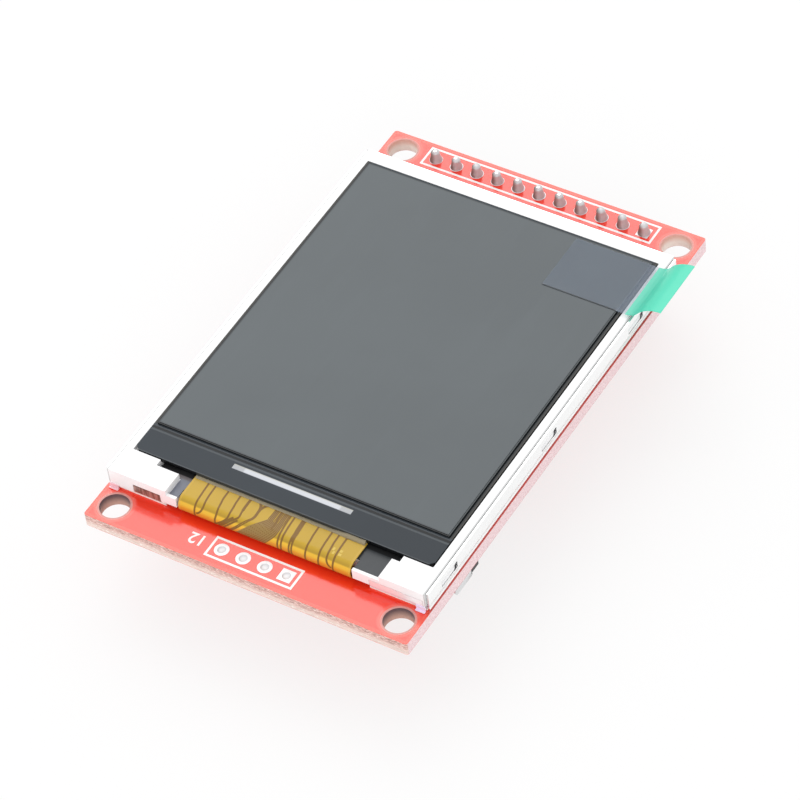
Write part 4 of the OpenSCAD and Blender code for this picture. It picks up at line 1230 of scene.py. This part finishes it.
class OBJECT_OT_back_joints(bpy.types.Operator):
    """Add solder and printed outlines round the small parts on the back"""
    bl_idname = "display_module.back_joints"
    bl_label = "Back joints"

    def execute(self, context):
        look, sizes = settings(context)
        line, ink = 0.15, sizes.ink_height / MM
        bm, outlines = bmesh.new(), bmesh.new()

        def outline(low, high, dx, dy, over=0.0):
            """Four printed lines round a part, at a distance from it; those along y lie over the others."""
            x0, x1, y0, y1 = low.x - dx, high.x + dx, low.y - dy, high.y + dy
            ring = [Vector(p) for p in ((x0, y0), (x1, y0), (x1, y1), (x0, y1), (x0, y0))]
            for a, b in zip(ring, ring[1:]):
                step = (b - a).normalized() * line / 2
                lay_line(outlines, [a - step, b + step], line, ink * 1.6 + (over if a.x == b.x else 0), on_back)

        for name in SMALL_PARTS:
            low, high = corners(name)
            if name == "regulator":
                x = middle(name).x
                for side in (-0.95, 0, 0.95):
                    solder_heap(bm, (x + side - 0.3, high.y - 0.15), (x + side + 0.3, high.y + 0.4), 0.16)
                    if side:
                        solder_heap(bm, (x + side - 0.3, low.y - 0.4), (x + side + 0.3, low.y + 0.15), 0.16)
                outline(low, high, 0.4, 0.7)
            else:
                solder_heap(bm, (low.x - 0.05, high.y), (high.x + 0.05, high.y + 0.45), 0.34)
                solder_heap(bm, (low.x - 0.05, low.y - 0.45), (high.x + 0.05, low.y), 0.34)
                outline(low, high, 0.35, 0.8, over=ink)
        # card socket: contacts and feet
        for i in range(CONTACTS):
            y = CONTACTS_LOW.y + CONTACT_FIRST + CONTACT_PITCH * i
            solder_heap(bm, (CONTACTS_LOW.x - 0.35, y - 0.3), (CONTACTS_LOW.x + 0.45, y + 0.3), 0.2)
        for x in (SHELL_LOW.x + 1.2, SHELL_HIGH.x - 3.7):
            for y in (SHELL_LOW.y + 0.1, SHELL_HIGH.y - 0.1):
                solder_heap(bm, (x - 0.25, y - 0.4), (x + 1.45, y + 0.4), 0.28)
        piece("back_solder", bm, tin_finish(look, "solder_back"), sharp=50)

        far = Vector((STRIP_HIGH.x, min(STRIP_HIGH.y, BOARD_HIGH.y - 0.5)))
        outline(STRIP_LOW, far, 0.3, 0.3)
        thicken(outlines, ink, BACKWARDS)
        piece("back_outlines", outlines, ink_finish(look))
        return {"FINISHED"}


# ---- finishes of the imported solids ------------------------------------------

class OBJECT_OT_node_finishes(bpy.types.Operator):
    """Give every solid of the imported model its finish"""
    bl_idname = "display_module.node_finishes"
    bl_label = "Finishes of the solids"

    def execute(self, context):
        look = settings(context)[0]
        tin, land, foam = tin_finish(look, "tin_lands"), land_finish(), foam_finish()
        finishes = {
            "circuit_board": board_finish(look), "header_strip": black_finish("strip_black"),
            "header_lands": land, "header_solder": tin, "spare_lands": land, "metal_pan": pan_finish(),
            "header_pin": gold_finish(look, "pin_plating", 0.18, tinned=True),
            "backlight_frame": housing_finish(look),
            "reflector": optic_finish("reflector_sheet", (238, 240, 242), 0.2),
            "light_guide": optic_finish("guide_acrylic", (214, 226, 232), 0.6),
            "diffuser": optic_finish("diffuser_sheet", (240, 240, 240), 0.4),
            "prism_sheet_lower": optic_finish("prism_lower", (206, 212, 216), 3.0),
            "prism_sheet_upper": optic_finish("prism_upper", (212, 218, 222), 3.4),
            "led": grained("lamp_body", (246, 238, 190), (232, 214, 140), (8, 3), (0.35, 0.1), relief=(0.005, 0.4)),
            "led_flex": mark_finish(), "light_block_tape": block_tape_finish(),
            "rim_tape": black_finish("rim_black"), "rear_polarizer": polarizer_finish("polarizer_rear"),
            "filter_glass": glass_finish(look, "glass_filter", False),
            "array_glass": glass_finish(look, "glass_array", True),
            "front_polarizer": polarizer_finish("polarizer_edge"), "protective_film": screen_finish(look),
            "driver_chip": chip_finish(), "display_flex": flex_finish(look),
            "flex_bead": bead_finish(), "flex_solder": tin,
            "tape_left": foam, "tape_right": foam, "tape_far": foam,
            "pull_tab_clear": clear_tape_finish(), "pull_tab_green": green_tab_finish(look),
            "card_shell": shell_finish(), "card_base": black_finish("socket_black"),
            "card_contacts": gold_finish(look, "gold_plate", 0.16),
            "resistor": part_finish("resistor_body", "resistor_1", (30, 30, 34), (48, 48, 52), (10, 0.5), 0.3, 0.4),
            "capacitor": part_finish("capacitor_body", "capacitor_1", (178, 142, 102), (152, 116, 80), (8, 1),
                                     0.35, 0.4),
            "regulator": part_finish("regulator_body", "regulator", (28, 28, 30), (46, 46, 48), (14, 0.6),
                                     0.4, 0.73, tin=0.76, dip=0.15),
        }
        for name in NODES:
            # numbered solids share the finish of their group
            group = name.rstrip("0123456789").rstrip("_")
            if group in finishes:
                paint(name, finishes[group])
        return {"FINISHED"}


# ---- stage ------------------------------------------------------------------

class OBJECT_OT_stage(bpy.types.Operator):
    """Set the pale floor, the soft lights and the camera"""
    bl_idname = "display_module.stage"
    bl_label = "Stage"

    def execute(self, context):
        scene, sizes = context.scene, settings(context)[1]
        scene.view_settings.view_transform = "Standard"
        self.floor(scene, sizes.floor_shadow)

        scene.world = bpy.data.worlds.new("studio")
        scene.world.use_nodes = True
        w = NodeWriter(scene.world.node_tree)
        strength = w.seen_directly()[1] * (1 - sizes.sky_strength) + sizes.sky_strength
        sky = w.node("ShaderNodeBackground", values={"Color": (1, 1, 1, 1), "Strength": strength})
        w.node("ShaderNodeOutputWorld", values={"Surface": sky.outputs[0]})

        # camera: the module's own frame, seen from the front right and well above
        camera_data = bpy.data.cameras.new("camera")
        camera_data.lens = 196.30
        camera_data.sensor_width = 36
        camera_data.clip_start = 0.01
        camera = bpy.data.objects.new("camera", camera_data)
        scene.collection.objects.link(camera)
        right, down, ahead = (Vector(axis) for axis in CAMERA_AXES)
        turn = Matrix((right, -down, -ahead)).transposed()
        camera.matrix_world = Matrix.Translation(Vector(CAMERA_PLACE) * MM) @ turn.to_4x4()
        scene.camera = camera

        # the first softbox lies opposite the camera, so that flat glossy faces catch its light
        self.softbox("softbox_back", (ahead.x, ahead.y, -ahead.z), 1.0, 0.82, sizes.softbox_power)
        self.softbox("softbox_left", (-0.9, -0.25, 0.75), 1.1, 0.5, sizes.softbox_power * 0.35)
        self.softbox("softbox_front", (0.45, -0.85, 0.35), 1.0, 0.7, sizes.fill_power)
        return {"FINISHED"}

    def floor(self, scene, shadow):
        """A white floor that keeps a faint shadow and can't be seen from below."""
        bm = bmesh.new()
        bmesh.ops.create_grid(bm, x_segments=2, y_segments=2, size=4.0)
        bmesh.ops.translate(bm, verts=bm.verts, vec=(0, 0, CAD_BOX[0].z - 0.02 * MM))
        mesh = bpy.data.meshes.new("floor")
        bm.to_mesh(mesh)
        bm.free()
        floor = bpy.data.objects.new("floor", mesh)
        scene.collection.objects.link(floor)
        f = Finish("floor_white")
        camera_ray, seen = f.seen_directly()
        paint = f.node("ShaderNodeBsdfDiffuse", values={"Color": (0.86, 0.86, 0.86, 1)})
        glow = f.node("ShaderNodeEmission", values={"Color": (1, 1, 1, 1), "Strength": 1.0})
        lit = f.node("ShaderNodeMixShader", values={0: seen - camera_ray * shadow, 1: paint.outputs[0],
                                                    2: glow.outputs[0]})
        below = f.node("ShaderNodeNewGeometry").outputs["Backfacing"]
        clear = f.node("ShaderNodeBsdfTransparent")
        both = f.node("ShaderNodeMixShader", values={0: below, 1: lit.outputs[0], 2: clear.outputs[0]})
        f.tree.links.new(both.outputs[0], f.output.inputs["Surface"])
        mesh.materials.append(f.material)

    def softbox(self, name, direction, distance, side, radiance):
        """A square lamp, all in metres, that faces the module from a direction."""
        direction = Vector(direction).normalized()
        light = bpy.data.lights.new(name, "AREA")
        light.shape = "SQUARE"
        light.size = side
        light.energy = radiance * math.pi * side * side
        box = bpy.data.objects.new(name, light)
        bpy.context.scene.collection.objects.link(box)
        box.location = direction * distance
        box.rotation_mode = "QUATERNION"
        box.rotation_quaternion = direction.to_track_quat("Z", "Y")


class VIEW3D_PT_display_module(bpy.types.Panel):
    """Lists what builds the module's looks"""
    bl_label = "Display module"
    bl_idname = "VIEW3D_PT_display_module"
    bl_space_type = "VIEW_3D"
    bl_region_type = "UI"
    bl_category = "Display module"

    def draw(self, context):
        for group in settings(context):
            column = self.layout.column()
            for name in group.__annotations__:
                column.prop(group, name)
        for operator in OPERATORS:
            self.layout.operator(operator.bl_idname, text=operator.bl_label)


OPERATORS = (OBJECT_OT_node_finishes, OBJECT_OT_flex_sheet, OBJECT_OT_flex_lines, OBJECT_OT_glue_bead,
             OBJECT_OT_header_joints, OBJECT_OT_spare_pads, OBJECT_OT_pan_details, OBJECT_OT_socket_details,
             OBJECT_OT_prints, OBJECT_OT_back_tracks, OBJECT_OT_back_joints, OBJECT_OT_stage)
CLASSES = (ModuleColours, ModuleSizes, *OPERATORS, VIEW3D_PT_display_module)


def register():
    for cls in CLASSES:
        bpy.utils.register_class(cls)
    bpy.types.Scene.module_colours = PointerProperty(type=ModuleColours)
    bpy.types.Scene.module_sizes = PointerProperty(type=ModuleSizes)


def unregister():
    del bpy.types.Scene.module_sizes
    del bpy.types.Scene.module_colours
    for cls in reversed(CLASSES):
        bpy.utils.unregister_class(cls)


def main():
    register()
    for operator in OPERATORS:
        group, name = operator.bl_idname.split(".")
        getattr(getattr(bpy.ops, group), name)()


if __name__ == "__main__":
    main()
